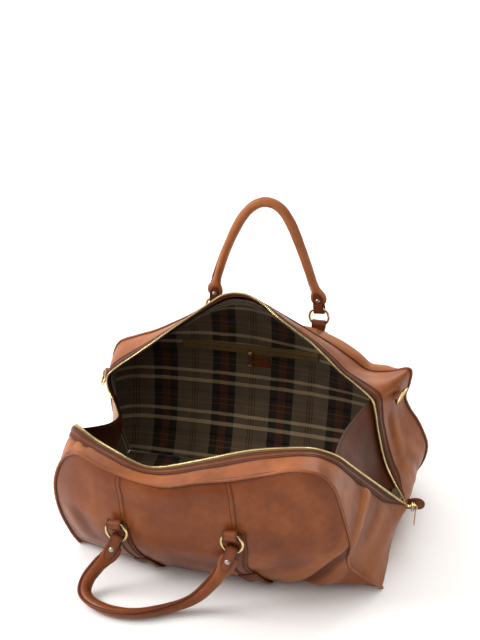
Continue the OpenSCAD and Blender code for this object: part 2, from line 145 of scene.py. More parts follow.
def inward(points: np.ndarray) -> np.ndarray:
    """Directions from points toward the middle of the bag."""
    return unit(CENTRE - points)


def refined(grid: np.ndarray, down: int = REFINE, across: int = REFINE) -> np.ndarray:
    """Smooth finer copy of a grid of points.

    Args:
        grid: Rows of points.
        down: Steps that replace one step between rows.
        across: Steps that replace one step along a row.

    Returns:
        The finer grid.
    """
    rows = spline(grid, 0, len(grid) - 1, down)
    return np.swapaxes(spline(np.swapaxes(rows, 0, 1), 0, rows.shape[1] - 1, across), 0, 1)


def patch(low: np.ndarray, high: np.ndarray, left: np.ndarray, right: np.ndarray, bulge: float,
          aim: tuple, lobe: float, fullness: float) -> np.ndarray:
    """Panel inside four seams that bulges along a direction.

    Args:
        low: Seam along the bottom.
        high: Seam along the top.
        left: Seam at the first end, from bottom to top.
        right: Seam at the other end.
        bulge: Height of the bulge.
        aim: Direction of the bulge.
        lobe: Under 1 puts the bulge low, over 1 puts it high.
        fullness: Lower is boxier.

    Returns:
        Rows of points from the bottom seam to the top one.
    """
    u = np.linspace(0, 1, len(low))[None, :, None]
    v = np.linspace(0, 1, len(left))[:, None, None]
    flat = ((1 - v) * low + v * high + (1 - u) * left[:, None] + u * right[:, None]
            - (1 - u) * (1 - v) * low[0] - u * (1 - v) * low[-1]
            - (1 - u) * v * high[0] - u * v * high[-1])
    swell = (np.sin(np.pi * u) * np.sin(np.pi * v**lobe)).clip(0) ** fullness
    flat = flat + np.array(aim) * bulge * swell
    flat[..., 2] = flat[..., 2].clip(0)
    return flat


def strip(a: np.ndarray, b: np.ndarray, rows: int, swell: float) -> np.ndarray:
    """Rows from one edge to another, swelling outward between them.

    Args:
        a: First edge.
        b: Last edge.
        rows: Steps between the edges.
        swell: Height of the swelling; a negative one sinks.

    Returns:
        The grid.
    """
    v = np.linspace(0, 1, rows + 1)[:, None, None]
    grid = a + (b - a) * v
    return grid - inward(grid) * swell * np.sin(np.pi * v)


def grid_normals(grid: np.ndarray) -> np.ndarray:
    """Directions square to a grid, pointing away from the middle of the bag.

    Args:
        grid: Rows of points.

    Returns:
        A direction for each point.
    """
    across = np.gradient(grid, axis=1)
    down = np.gradient(grid, axis=0)
    n = unit(np.cross(across, down))
    facing = np.sign(np.sum(n * -inward(grid)))
    return n * (facing if facing else 1)


def drift(points: np.ndarray, size: float, seed: float, octaves: int = 2) -> np.ndarray:
    """Slow random waves over points.

    Args:
        points: Points in millimetres.
        size: Width of a wave in millimetres.
        seed: Offset that picks other waves.
        octaves: Layers of finer waves.

    Returns:
        A value of about -1 to 1 for each point.
    """
    flat = points.reshape(-1, 3) / size + seed
    values = [noise.fractal(Vector(p), 1.0, 2.0, octaves) for p in flat]
    return np.array(values).reshape(points.shape[:-1])


@dataclass
class Crease:
    """A fold in leather that runs along a line.

    Args:
        line: Points along the fold, in millimetres.
        depth: How deep it is; a negative depth is a ridge.
        width: Half width of the fold.
        shoulder: Height of the swelling beside it, as a share of the depth.
    """

    line: Sequence[Sequence[float]]
    depth: float
    width: float
    shoulder: float = 0.4

    def lift(self, points: np.ndarray) -> np.ndarray:
        """Change in height of each point.

        Args:
            points: Points in millimetres.

        Returns:
            Height of the fold at each of them.
        """
        line = spline(self.line, 0, len(self.line) - 1, 6)
        best = np.full(points.shape[:-1], 1e9)
        along = np.zeros(points.shape[:-1])
        for i in range(len(line) - 1):
            a, d = line[i], line[i + 1] - line[i]
            t = (((points - a) @ d) / (d @ d)).clip(0, 1)
            gap = np.linalg.norm(points - a - t[..., None] * d, axis=-1)
            closer = gap < best
            best = np.where(closer, gap, best)
            along = np.where(closer, (i + t) / (len(line) - 1), along)
        fade = np.sin(np.pi * along.clip(0.02, 0.98)) ** 0.7
        near = np.exp(-((best / self.width) ** 2))
        beside = np.exp(-(((best - 2.2 * self.width) / (1.3 * self.width)) ** 2))
        return self.depth * fade * (self.shoulder * beside - near)


class Surface:
    """A fine grid of points with its outward directions, which seams and straps lie on."""

    def __init__(self, grid: np.ndarray, creases: Sequence[Crease] = (), waves: float = 0.0,
                 wave_size: float = 80.0, seed: float = 0.0, inner: bool = False) -> None:
        """Relaxes a grid with soft waves and creases, which fade out at its seams.

        Args:
            grid: Rows of points in millimetres.
            creases: Folds in the surface.
            waves: Height of the soft waves.
            wave_size: Width of the soft waves.
            seed: Picks other waves.
            inner: True where the surface may only move into the bag.
        """
        rows, cols = grid.shape[:2]
        v = np.linspace(0, 1, rows)[:, None]
        u = np.linspace(0, 1, cols)[None, :]
        rim = np.minimum(np.minimum(v, 1 - v) * 8, 1) * np.minimum(np.minimum(u, 1 - u) * 14, 1)
        lift = drift(grid, wave_size, seed) * waves if waves else np.zeros((rows, cols))
        if inner:
            lift = -np.abs(lift)
        folds = np.zeros((rows, cols))
        for crease in creases:
            folds = folds + crease.lift(grid)
        lift = lift * rim + folds * rim.clip(0, 1) ** 0.35
        self.grid = grid + grid_normals(grid) * lift[..., None]
        self.grid[..., 2] = np.maximum(self.grid[..., 2], np.minimum(grid[..., 2], 0.3))
        self.normals = grid_normals(self.grid)
        self.fold = folds
        self.creases = list(creases)

    def at(self, u: np.ndarray, v: np.ndarray) -> tuple:
        """Points and directions at shares along the rows and columns.

        Args:
            u: Shares along the rows.
            v: Shares down the columns.

        Returns:
            The points, and the outward direction at each.
        """
        rows, cols = self.grid.shape[:2]
        x = np.clip(np.asarray(u, float), 0, 1) * (cols - 1)
        y = np.clip(np.asarray(v, float), 0, 1) * (rows - 1)
        i = np.minimum(x.astype(int), cols - 2)
        j = np.minimum(y.astype(int), rows - 2)
        s, t = (x - i)[..., None], (y - j)[..., None]

        def mix(a: np.ndarray) -> np.ndarray:
            """Blend of the four corners round each point."""
            return (a[j, i] * (1 - s) * (1 - t) + a[j, i + 1] * s * (1 - t)
                    + a[j + 1, i] * (1 - s) * t + a[j + 1, i + 1] * s * t)

        return mix(self.grid), unit(mix(self.normals))

    def line(self, ends: Sequence[Sequence[float]], count: int = 60) -> tuple:
        """Points and directions along a path of shares on the surface."""
        path = evenly(spline(np.array(ends, float), 0, len(ends) - 1, 8), count)
        return self.at(path[:, 0], path[:, 1])


# ---- meshes ----


def mesh_object(name: str, points: np.ndarray, faces: Sequence, material: Skin,
                uv: Optional[np.ndarray] = None, fold: Optional[np.ndarray] = None,
                crisp: float = 40.0) -> bpy.types.Object:
    """Makes a smooth mesh object from points in millimetres.

    Args:
        name: The piece's name.
        points: Vertex positions.
        faces: Vertex numbers of each face.
        material: Its material, or a list of them.
        uv: Position of each vertex on the flat cloth, in metres.
        fold: Height of the creases at each vertex, kept for the material.
        crisp: Angle in degrees over which an edge stays sharp.

    Returns:
        The new object.
    """
    mesh = bpy.data.meshes.new(name)
    mesh.from_pydata((np.asarray(points) * MM).tolist(), [], [list(f) for f in faces])
    mesh.validate()
    for one in material if isinstance(material, (list, tuple)) else [material]:
        mesh.materials.append(one)
    if uv is not None:
        corner = np.zeros(len(mesh.loops), np.int32)
        mesh.loops.foreach_get("vertex_index", corner)
        layer = mesh.uv_layers.new(name="cloth")
        layer.data.foreach_set("uv", np.asarray(uv)[corner].astype(np.float32).ravel())
    marks = mesh.attributes.new("fold", "FLOAT", "POINT")
    if fold is not None:
        marks.data.foreach_set("value", np.asarray(fold, np.float32).ravel())
    mesh.shade_smooth()
    mesh.set_sharp_from_angle(angle=math.radians(crisp))
    made = bpy.data.objects.new(name, mesh)
    bpy.context.scene.collection.objects.link(made)
    return made


def sheet_mesh(name: str, outer: np.ndarray, inner: np.ndarray, material: Skin,
               fold: Optional[np.ndarray] = None, edge_material: int = 0,
               cloth: Optional[np.ndarray] = None) -> bpy.types.Object:
    """Closed sheet between two grids, with a rounded rim.

    Args:
        name: The piece's name.
        outer: Grid of the outer face.
        inner: Grid of the inner face.
        material: Material, or the face's and the rim's.
        fold: Height of the creases at each outer point.
        edge_material: Which material the rim takes.
        cloth: Place of each outer point on the flat cloth, in millimetres.

    Returns:
        The new object.
    """
    rows, cols = outer.shape[:2]
    ids = np.arange(rows * cols).reshape(rows, cols)
    count = rows * cols

    def quads(index: np.ndarray) -> np.ndarray:
        """Faces of one grid."""
        return np.stack([index[:-1, :-1], index[:-1, 1:], index[1:, 1:], index[1:, :-1]],
                        -1).reshape(-1, 4)

    rim = np.concatenate([ids[0, :-1], ids[:-1, -1], ids[-1, :0:-1], ids[:0:-1, 0]])
    flat_outer, flat_inner = outer.reshape(-1, 3), inner.reshape(-1, 3)
    across = np.gradient(outer, axis=1)
    down = np.gradient(outer, axis=0)
    away = np.zeros_like(outer)
    away[0] -= unit(down[0])
    away[-1] += unit(down[-1])
    away[:, 0] -= unit(across[:, 0])
    away[:, -1] += unit(across[:, -1])
    thick = np.linalg.norm(flat_outer[rim] - flat_inner[rim], axis=1, keepdims=True)
    middle = (flat_outer[rim] + flat_inner[rim]) / 2 + unit(away.reshape(-1, 3)[rim]) * thick * 0.3
    middle[:, 2] = np.maximum(middle[:, 2], np.minimum(flat_outer[rim][:, 2], 0.2))
    points = np.concatenate([flat_outer, flat_inner, middle])
    after = np.roll(rim, -1)
    band = 2 * count + np.arange(len(rim))
    band_after = np.roll(band, -1)
    top = quads(ids)
    bottom = quads(ids + count)[:, ::-1]
    sides = np.concatenate([
        np.stack([rim, band, band_after, after], -1),
        np.stack([band, rim + count, after + count, band_after], -1),
    ])
    if cloth is None:
        cloth = np.stack(np.meshgrid(lengths(outer[rows // 2]), lengths(outer[:, cols // 2])), -1)
    flat = cloth.reshape(-1, 2) * MM
    uv = np.concatenate([flat, flat, flat[rim]])
    height = np.zeros(len(points))
    if fold is not None:
        height[:count] = fold.ravel()
    made = mesh_object(name, points, np.concatenate([top, bottom, sides]), material, uv, height, 60)
    if edge_material:
        index = np.zeros(len(made.data.polygons), np.int32)
        index[len(top) + len(bottom):] = edge_material
        if len(index) == len(top) + len(bottom) + len(sides):
            made.data.polygons.foreach_set("material_index", index)
    return made


def section(width: float, thick: float, power: float, sides: int) -> np.ndarray:
    """Outline across a swept piece: an ellipse at power 2, a rounded bar at power 8.

    Args:
        width: Its width.
        thick: Its thickness.
        power: How square it is.
        sides: How many points it has.

    Returns:
        Its points.
    """
    turn = 2 * np.pi * np.arange(sides) / sides
    c, s = np.cos(turn), np.sin(turn)
    return np.stack([width / 2 * np.sign(c) * np.abs(c) ** (2 / power),
                     thick / 2 * np.sign(s) * np.abs(s) ** (2 / power)], -1)


def sweep(line: np.ndarray, across: np.ndarray, normal: np.ndarray, width: Size, thick: Size,
          power: Size = 8.0, sides: int = 20, loop: bool = False) -> tuple:
    """Points and faces of a bar swept along a line.

    Args:
        line: Middle points.
        across: Direction of the width at each point.
        normal: Direction of the thickness at each point.
        width: Width, or one for each point.
        thick: Thickness, or one for each point.
        power: Shape of the section, or one for each point.
        sides: Points round the section.
        loop: True where the end joins the start.

    Returns:
        Vertex positions and faces.
    """
    n = len(line)
    widths, thicks, powers = (np.broadcast_to(x, n) for x in (width, thick, power))
    rings = np.stack([
        line[i] + np.outer(sec[:, 0], across[i]) + np.outer(sec[:, 1], normal[i])
        for i in range(n) for sec in [section(widths[i], thicks[i], powers[i], sides)]
    ])
    ids = np.arange(n * sides).reshape(n, sides)
    nxt = np.roll(ids, -1, axis=1)
    last = n if loop else n - 1
    faces = []
    for i in range(last):
        j = (i + 1) % n
        faces.append(np.stack([ids[i], nxt[i], nxt[j], ids[j]], -1))
    points = rings.reshape(-1, 3)
    quads = np.concatenate(faces).tolist()
    if not loop:
        quads += [ids[0][::-1].tolist(), ids[-1].tolist()]
    return points, quads


def carried(line: np.ndarray, start: np.ndarray, end: Optional[np.ndarray] = None) -> tuple:
    """Directions that follow a line with as little twist as possible.

    Args:
        line: Points of the line.
        start: Wanted width direction at its start.
        end: Wanted width direction at its end, reached by an even twist.

    Returns:
        Width and thickness directions at each point.
    """
    along = unit(np.gradient(line, axis=0))
    across = np.zeros_like(line)
    across[0] = unit(start - (start @ along[0]) * along[0])
    for i in range(1, len(line)):
        w = across[i - 1]
        across[i] = unit(w - (w @ along[i]) * along[i])
    if end is not None:
        goal = unit(end - (end @ along[-1]) * along[-1])
        side = np.cross(along[-1], across[-1])
        twist = math.atan2(goal @ side, goal @ across[-1])
        turn = np.linspace(0, twist, len(line))[:, None]
        across = across * np.cos(turn) + np.cross(along, across) * np.sin(turn)
    return across, np.cross(along, across)


def tube(line: np.ndarray, radius: Size, sides: int = 12, loop: bool = False) -> tuple:
    """Points and faces of a round tube along a line."""
    across, normal = carried(line, np.array([0.13, 0.97, 0.2]))
    return sweep(line, across, normal, 2 * np.asarray(radius), 2 * np.asarray(radius), 2.0, sides, loop)


class Gathered:
    """Collects many small shells so that they make one mesh."""

    def __init__(self) -> None:
        """Starts empty."""
        self.points: list = []
        self.faces: list = []
        self.count = 0

    def add(self, shape: tuple) -> "Gathered":
        """Adds a shell.

        Args:
            shape: Its points in millimetres, and its faces.

        Returns:
            The collection itself.
        """
        points, faces = shape
        self.points.append(np.asarray(points))
        self.faces += [[i + self.count for i in f] for f in faces]
        self.count += len(points)
        return self

    def build(self, name: str, material: Skin, crisp: float = 40.0) -> bpy.types.Object:
        """Makes one object of all that was added."""
        return mesh_object(name, np.concatenate(self.points), self.faces, material, crisp=crisp)


def turned(axis_x: np.ndarray, axis_y: np.ndarray, axis_z: np.ndarray, at: np.ndarray,
           points: np.ndarray) -> np.ndarray:
    """Points given along three directions, moved to a place."""
    return at + points[:, :1] * axis_x + points[:, 1:2] * axis_y + points[:, 2:3] * axis_z


def ball(radius: float, height: float, rings: int = 6, sides: int = 16) -> tuple:
    """Low dome with a closed underside, in its own X, Y and Z.

    Args:
        radius: Radius of its foot.
        height: Its height.
        rings: Rings of points from foot to top.
        sides: Points in each ring.

    Returns:
        Vertex positions and faces.
    """
    points = []
    for i in range(rings):
        a = i / rings * math.pi / 2
        for k in range(sides):
            t = 2 * math.pi * k / sides
            points.append([radius * math.cos(a) * math.cos(t), radius * math.cos(a) * math.sin(t),
                           height * math.sin(a)])
    points.append([0, 0, height])
    faces = [[i * sides + k, i * sides + (k + 1) % sides, (i + 1) * sides + (k + 1) % sides,
              (i + 1) * sides + k] for i in range(rings - 1) for k in range(sides)]
    top = rings * sides
    faces += [[(rings - 1) * sides + k, (rings - 1) * sides + (k + 1) % sides, top]
              for k in range(sides)]
    faces.append(list(range(sides))[::-1])
    return np.array(points), faces


def soft_box(size: Sequence[float], edge: float) -> tuple:
    """Box with cut edges and corners, in its own X, Y and Z.

    Args:
        size: Its three sides.
        edge: Width of the cut along each edge.

    Returns:
        Vertex positions and faces.
    """
    half = np.array(size) / 2
    points, index = [], {}
    for sx in (-1, 1):
        for sy in (-1, 1):
            for sz in (-1, 1):
                for k in range(3):
                    corner = half.copy() - edge
                    corner[k] = half[k]
                    index[(sx, sy, sz, k)] = len(points)
                    points.append(corner * (sx, sy, sz))
    faces = []
    for s in (-1, 1):
        around = [(-1, -1), (1, -1), (1, 1), (-1, 1)]
        faces.append([index[(s, a, b, 0)] for a, b in around][::s])
        faces.append([index[(a, s, b, 1)] for a, b in around][::-s])
        faces.append([index[(a, b, s, 2)] for a, b in around][::s])
    for a in (-1, 1):
        for b in (-1, 1):
            turn = a * b
            faces.append([index[(a, b, -1, 0)], index[(a, b, 1, 0)], index[(a, b, 1, 1)],
                          index[(a, b, -1, 1)]][::-turn])
            faces.append([index[(a, -1, b, 0)], index[(a, 1, b, 0)], index[(a, 1, b, 2)],
                          index[(a, -1, b, 2)]][::turn])
            faces.append([index[(-1, a, b, 1)], index[(1, a, b, 1)], index[(1, a, b, 2)],
                          index[(-1, a, b, 2)]][::-turn])
            for c in (-1, 1):
                faces.append([index[(a, b, c, 0)], index[(a, b, c, 1)],
                              index[(a, b, c, 2)]][::a * b * c])
    return np.array(points), faces


@dataclass
class StitchStyle:
    """How a seam is sewn, in millimetres."""

    pitch: float = 4.3
    length: float = 3.3
    radius: float = 0.55
    rise: float = 0.22


class Stitches(Gathered):
    """Rows of sewn thread, gathered into one mesh for each body."""

    def row(self, line: np.ndarray, normals: np.ndarray, style: StitchStyle = StitchStyle()) -> None:
        """Sews along a line on a surface.

        Args:
            line: Points of the seam.
            normals: Outward direction at each point.
            style: Size of the stitches.
        """
        run = lengths(line)
        count = max(int(run[-1] / style.pitch), 2)
        at = (np.arange(count) + 0.5) * run[-1] / count
        middle = points_at(at, run, line)
        tilt = unit(points_at(at, run, normals))
        along = unit(points_at(at + 0.5, run, line) - points_at(at - 0.5, run, line))
        side = unit(np.cross(tilt, along))
        half = style.length / 2
        for m, t, a, s in zip(middle, tilt, along, side):
            steps = np.array([-half, -half * 0.7, 0, half * 0.7, half])
            arch = np.array([-0.5, 0.1, 0.35, 0.1, -0.5]) * style.radius + style.rise
            size = np.array([0.35, 0.85, 1.0, 0.85, 0.35]) * 2 * style.radius
            self.add(sweep(m + steps[:, None] * a + arch[:, None] * t, np.repeat(s[None], 5, 0),
                           np.repeat(t[None], 5, 0), size, size * 0.9, 2.0, 6))


# ---- materials ----


class Tone(Enum):
    """Colours of the finishes, as sRGB."""

    TAN = "#90502A"
    TAN_DEEP = "#54260D"
    TAN_LIGHT = "#BA7440"
    # Painted shade: a darker copy of the tan leather for the front panel and the front handle, which face
    # away from the light.
    TAN_SHADED = "#7A3D1B"
    TAN_SHADED_DEEP = "#451D0A"
    TAN_SHADED_LIGHT = "#A86432"
    # Painted light: a lighter copy of the tan leather for the back handle, which stands high in the
    # light.
    TAN_LIT = "#A2623A"
    TRIM = "#6C3518"
    TRIM_DEEP = "#3D1B0D"
    TRIM_LIGHT = "#935433"
    EDGE_PAINT = "#2E150B"
    THREAD = "#45210F"
    BRASS = "#DCC48C"
    BRASS_WORN = "#A98A52"
    NICKEL = "#B9B6AE"
    TAPE = "#7A6134"
    WEFT = "#3A2E22"
    TAUPE = "#6F5D48"
    INK = "#0F0D0B"
    RUST = "#4E2414"
    CREAM = "#CBB08A"
    GOLD_YARN = "#7C5C34"
    BINDING = "#8E7A5C"
    # Painted shade between the ribs of the woven tape.
    TAPE_GAP_SHADE = "#191610"
    FLOOR = "#F7F6F5"


def linear(tone: Tone) -> tuple:
    """A tone as the linear colour that shaders take."""
    text = tone.value.lstrip("#")
    parts = [int(text[i:i + 2], 16) / 255 for i in (0, 2, 4)]
    return tuple(c / 12.92 if c <= 0.04045 else ((c + 0.055) / 1.055) ** 2.4 for c in parts) + (1.0,)


def add_node(tree: Tree, kind: str, settings: Optional[dict] = None,
             inputs: Optional[dict] = None) -> bpy.types.Node:
    """Adds a shader node.

    Args:
        tree: The material's node tree.
        kind: Node type without its prefix.
        settings: Properties of the node.
        inputs: Values, tones or sockets for its inputs, by name or number.

    Returns:
        The new node.
    """
    made = tree.nodes.new("ShaderNode" + kind)
    for key, value in (settings or {}).items():
        setattr(made, key, value)
    for key, value in (inputs or {}).items():
        if isinstance(value, Socket):
            tree.links.new(value, made.inputs[key])
        else:
            made.inputs[key].default_value = linear(value) if isinstance(value, Tone) else value
    return made


def ramp(tree: Tree, factor: Socket, stops: Sequence[tuple], hard: bool = False) -> Socket:
    """Adds a colour ramp.

    Args:
        tree: The material's node tree.
        factor: Socket that picks the colour.
        stops: Pairs of position and tone.
        hard: True for sharp steps between the colours.

    Returns:
        Its colour socket.
    """
    made = add_node(tree, "ValToRGB", inputs={"Fac": factor})
    made.color_ramp.interpolation = "CONSTANT" if hard else "LINEAR"
    elements = made.color_ramp.elements
    while len(elements) < len(stops):
        elements.new(1.0)
    for element, (position, tone) in zip(elements, stops):
        element.position = position
        element.color = linear(tone)
    return made.outputs["Color"]


def maths(tree: Tree, operation: str, a: Value, b: Value = 0.5) -> Socket:
    """Adds one arithmetic node and gives its result."""
    return add_node(tree, "Math", {"operation": operation}, {0: a, 1: b}).outputs[0]


def mixed(tree: Tree, share: Value, a: Value, b: Value, blend: str = "MIX") -> Socket:
    """Mixes two colours by a share and gives the result."""
    return add_node(tree, "Mix", {"data_type": "RGBA", "blend_type": blend},
                    {0: share, 6: a, 7: b}).outputs[2]


def spread(tree: Tree, value: Value, low: float, high: float, to_low: float,
           to_high: float) -> Socket:
    """Maps a value from one span to another, without going past it."""
    return add_node(tree, "MapRange",
                    inputs={0: value, 1: low, 2: high, 3: to_low, 4: to_high}).outputs[0]


def noise_at(tree: Tree, coords: Socket, per_metre: float, detail: float = 3.0,
             rough: float = 0.5) -> Socket:
    """Adds cloudy noise with so many features per metre and gives its strength."""
    return add_node(tree, "TexNoise", inputs={"Vector": coords, "Scale": per_metre, "Detail": detail,
                                              "Roughness": rough}).outputs[0]


def bump(tree: Tree, height: Socket, distance: float, strength: float = 1.0,
         under: Optional[Socket] = None) -> Socket:
    """Adds a bump.

    Args:
        tree: The material's node tree.
        height: Socket of its height, from 0 to 1.
        distance: Its real height in metres.
        strength: How much of it shows.
        under: Direction socket of a coarser bump that it lies on.

    Returns:
        Its direction socket.
    """
    inputs = {"Height": height, "Distance": distance, "Strength": strength}
    if under is not None:
        inputs["Normal"] = under
    return add_node(tree, "Bump", inputs=inputs).outputs[0]


def new_material(name: str, **values: float) -> tuple:
    """Starts a material, with uniform values set on its shader.

    Args:
        name: The material's name.
        values: Shader inputs, with underscores for spaces.

    Returns:
        The material, its tree, its shader and the socket of places on the piece.
    """
    material = bpy.data.materials.new(name)
    material.use_nodes = True
    shader = material.node_tree.nodes["Principled BSDF"]
    for key, value in values.items():
        shader.inputs[key.replace("_", " ")].default_value = value
    coords = add_node(material.node_tree, "TexCoord").outputs["Object"]
    return material, material.node_tree, shader, coords


@dataclass(frozen=True)
class SmoothLeather:
    """Full-grain leather, vegetable tanned and waxed: fine pores, cloudy dye and a soft gloss.

    Args:
        name: The material's name.
        base: Main colour.
        deep: Colour of dark clouds, and of the painted shade in creases.
        light: Colour of pale clouds, and of the painted highlight on the ridges beside creases.
        roughness: How matt it is.
    """

    name: str
    base: Tone
    deep: Tone
    light: Tone
    roughness: float = 0.4

    def make(self) -> bpy.types.Material:
        """Builds the material."""
        material, tree, shader, coords = new_material(
            self.name, Coat_Weight=0.08, Coat_Roughness=0.26, Specular_IOR_Level=0.2, IOR=1.5)
        # Dye takes unevenly across a hide: clouds about 80 mm wide, then 12 mm flecks.
        clouds = noise_at(tree, coords, 11.0, 4.0, 0.55)
        flecks = noise_at(tree, coords, 85.0, 5.0, 0.6)
        tone = ramp(tree, maths(tree, "ADD", maths(tree, "MULTIPLY", clouds, 0.78),
                                maths(tree, "MULTIPLY", flecks, 0.22)),
                    [(0.34, self.deep), (0.52, self.base), (0.70, self.light)])
        tone = mixed(tree, 0.45, self.base, tone)
        # Painted shade: the colour darkens in a fold, by its depth, and the ridge beside it is painted
        # paler as a highlight.
        fold = add_node(tree, "Attribute", {"attribute_name": "fold"}).outputs["Fac"]
        tone = mixed(tree, spread(tree, fold, -0.2, -3.5, 0.0, 0.55), tone, self.deep)
        tone = mixed(tree, spread(tree, fold, 0.1, 1.6, 0.0, 0.35), tone, self.light)
        tree.links.new(tone, shader.inputs["Base Color"])
        # Handling polishes patches of the surface, so the gloss is uneven.
        polish = spread(tree, noise_at(tree, coords, 34.0, 3.0), 0.3, 0.7,
                        self.roughness - 0.07, self.roughness + 0.09)
        tree.links.new(polish, shader.inputs["Roughness"])
        # Grain: pebbles about 1.4 mm across under finer wrinkles, with a depth of hundredths.
        pebbles = add_node(tree, "TexVoronoi", {"feature": "SMOOTH_F1"},
                           {"Vector": coords, "Scale": 700.0, "Smoothness": 0.6}).outputs["Distance"]
        wrinkles = noise_at(tree, coords, 260.0, 6.0, 0.6)
        slack = noise_at(tree, coords, 42.0, 3.0, 0.5)
        under = bump(tree, slack, 0.0016, 0.35)
        under = bump(tree, wrinkles, 0.00022, 0.6, under)
        tree.links.new(bump(tree, pebbles, 0.00012, 0.5, under), shader.inputs["Normal"])
        return material


@dataclass(frozen=True)
class CutEdge:
    """Edge of cut leather, burnished and painted dark: smooth, nearly plain, a little glossy."""

    name: str = "painted_edge"

    def make(self) -> bpy.types.Material:
        """Builds the material."""
        material, tree, shader, coords = new_material(self.name, Roughness=0.38, Specular_IOR_Level=0.4)
        shade = mixed(tree, noise_at(tree, coords, 160.0), Tone.EDGE_PAINT,
                      Tone.TRIM_DEEP)
        tree.links.new(shade, shader.inputs["Base Color"])
        tree.links.new(bump(tree, noise_at(tree, coords, 500.0), 0.0001), shader.inputs["Normal"])
        return material


@dataclass(frozen=True)
class Metal:
    """Cast and plated fittings, tumbled bright: fine random scratches and slight tarnish.

    Args:
        name: The material's name.
        bright: Colour of the plating.
        worn: Colour where it has tarnished.
        roughness: How dull it is.
    """

    name: str
    bright: Tone
    worn: Tone
    roughness: float = 0.2

    def make(self) -> bpy.types.Material:
        """Builds the material."""
        material, tree, shader, coords = new_material(self.name, Metallic=1.0)
        stain = spread(tree, noise_at(tree, coords, 140.0, 4.0), 0.45, 0.75, 0.0, 0.6)
        tree.links.new(mixed(tree, stain, self.bright, self.worn),
                       shader.inputs["Base Color"])
        scratch = noise_at(tree, coords, 1500.0, 2.0)
        tree.links.new(spread(tree, scratch, 0.3, 0.7, self.roughness - 0.05, self.roughness + 0.1),
                       shader.inputs["Roughness"])
        tree.links.new(bump(tree, scratch, 0.00003, 0.4), shader.inputs["Normal"])
        return material


@dataclass(frozen=True)
class CheckedLining:
    """Yarn-dyed cotton twill in a wide check: dark bars, rust lines and pairs of cream lines.

    Args:
        name: The material's name.
        width: Repeat of the check across the cloth, in metres.
        height: Repeat of the check along the cloth, in metres.
    """

    name: str = "checked_lining"
    width: float = 0.105
    height: float = 0.080

    def make(self) -> bpy.types.Material:
        """Builds the material."""
        material, tree, shader, coords = new_material(
            self.name, Roughness=0.85, Specular_IOR_Level=0.2, Sheen_Weight=0.15,
            Sheen_Roughness=0.5)
        uv = add_node(tree, "UVMap", {"uv_map": "cloth"}).outputs[0]
        split = add_node(tree, "SeparateXYZ", inputs={0: uv})
        x, y = split.outputs[0], split.outputs[1]
        across = maths(tree, "FRACT", maths(tree, "DIVIDE", x, self.width))
        up = maths(tree, "FRACT", maths(tree, "DIVIDE", y, self.height))
        taupe, ink, rust = Tone.TAUPE, Tone.INK, Tone.RUST
        cream, gold, dark = Tone.CREAM, Tone.GOLD_YARN, Tone.WEFT
        warp = ramp(tree, across, [
            (0.0, taupe), (0.245, rust), (0.255, taupe), (0.285, rust), (0.30, taupe), (0.33, rust),
            (0.34, taupe), (0.595, ink), (0.73, rust), (0.865, ink), (0.995, taupe)], True)
        weft = ramp(tree, up, [
            (0.0, dark), (0.10, cream), (0.19, dark), (0.34, cream), (0.42, dark), (0.60, gold),
            (0.62, dark), (0.66, rust), (0.69, dark), (0.73, gold), (0.75, dark), (0.85, ink),
            (0.91, dark)], True)
        # Twill: warp and weft show in steps along a fine diagonal, 0.8 mm apart.
        diagonal = maths(tree, "FRACT", maths(tree, "MULTIPLY", maths(tree, "ADD", x, y), 1250.0))
        share = spread(tree, diagonal, 0.35, 0.65, 0.22, 0.58)
        cloth = mixed(tree, share, warp, weft)
        faded = spread(tree, noise_at(tree, coords, 16.0, 3.0), 0.3, 0.7, 0.86, 1.12)
        tint = add_node(tree, "CombineColor", inputs={0: faded, 1: faded, 2: faded}).outputs[0]
        tree.links.new(mixed(tree, 1.0, cloth, tint, "MULTIPLY"), shader.inputs["Base Color"])
        ridges = add_node(tree, "TexWave", {"wave_type": "BANDS", "bands_direction": "DIAGONAL"},
                          {"Vector": uv, "Scale": 400.0, "Distortion": 0.6, "Detail": 1.0}).outputs["Fac"]
        loose = bump(tree, noise_at(tree, coords, 30.0, 3.0), 0.0018, 0.5)
        tree.links.new(bump(tree, ridges, 0.00012, 0.7, loose), shader.inputs["Normal"])
        return material


@dataclass(frozen=True)
class WovenTape:
    """Narrow woven tape, such as a zip's: fine ribs along it and a dry, even sheen.

    Args:
        name: The material's name.
        tone: Colour of the yarn.
        ribs: Ribs per metre.
    """

    name: str
    tone: Tone
    ribs: float = 900.0

    def make(self) -> bpy.types.Material:
        """Builds the material."""
        material, tree, shader, coords = new_material(
            self.name, Roughness=0.75, Specular_IOR_Level=0.25, Sheen_Weight=0.2,
            Sheen_Roughness=0.45)
        yarn = add_node(tree, "TexWave", {"bands_direction": "DIAGONAL"},
                        {"Vector": coords, "Scale": self.ribs / 2, "Distortion": 1.2}).outputs["Fac"]
        # Painted shade: the gaps between the ribs take a near-black colour.
        shade = mixed(tree, spread(tree, yarn, 0.0, 1.0, 0.75, 1.0), Tone.TAPE_GAP_SHADE,
                      self.tone)
        tree.links.new(shade, shader.inputs["Base Color"])
        tree.links.new(bump(tree, yarn, 0.00015, 0.8), shader.inputs["Normal"])
        return material


@dataclass(frozen=True)
class Thread:
    """Waxed and twisted sewing thread: matt, with a fine slanting twist."""

    name: str = "thread"
    tone: Tone = Tone.THREAD

    def make(self) -> bpy.types.Material:
        """Builds the material."""
        material, tree, shader, coords = new_material(self.name, Roughness=0.6, Specular_IOR_Level=0.3)
        twist = noise_at(tree, coords, 1800.0, 1.0)
        tree.links.new(mixed(tree, twist, self.tone, Tone.TRIM),
                       shader.inputs["Base Color"])
        tree.links.new(bump(tree, twist, 0.0001, 0.6), shader.inputs["Normal"])
        return material


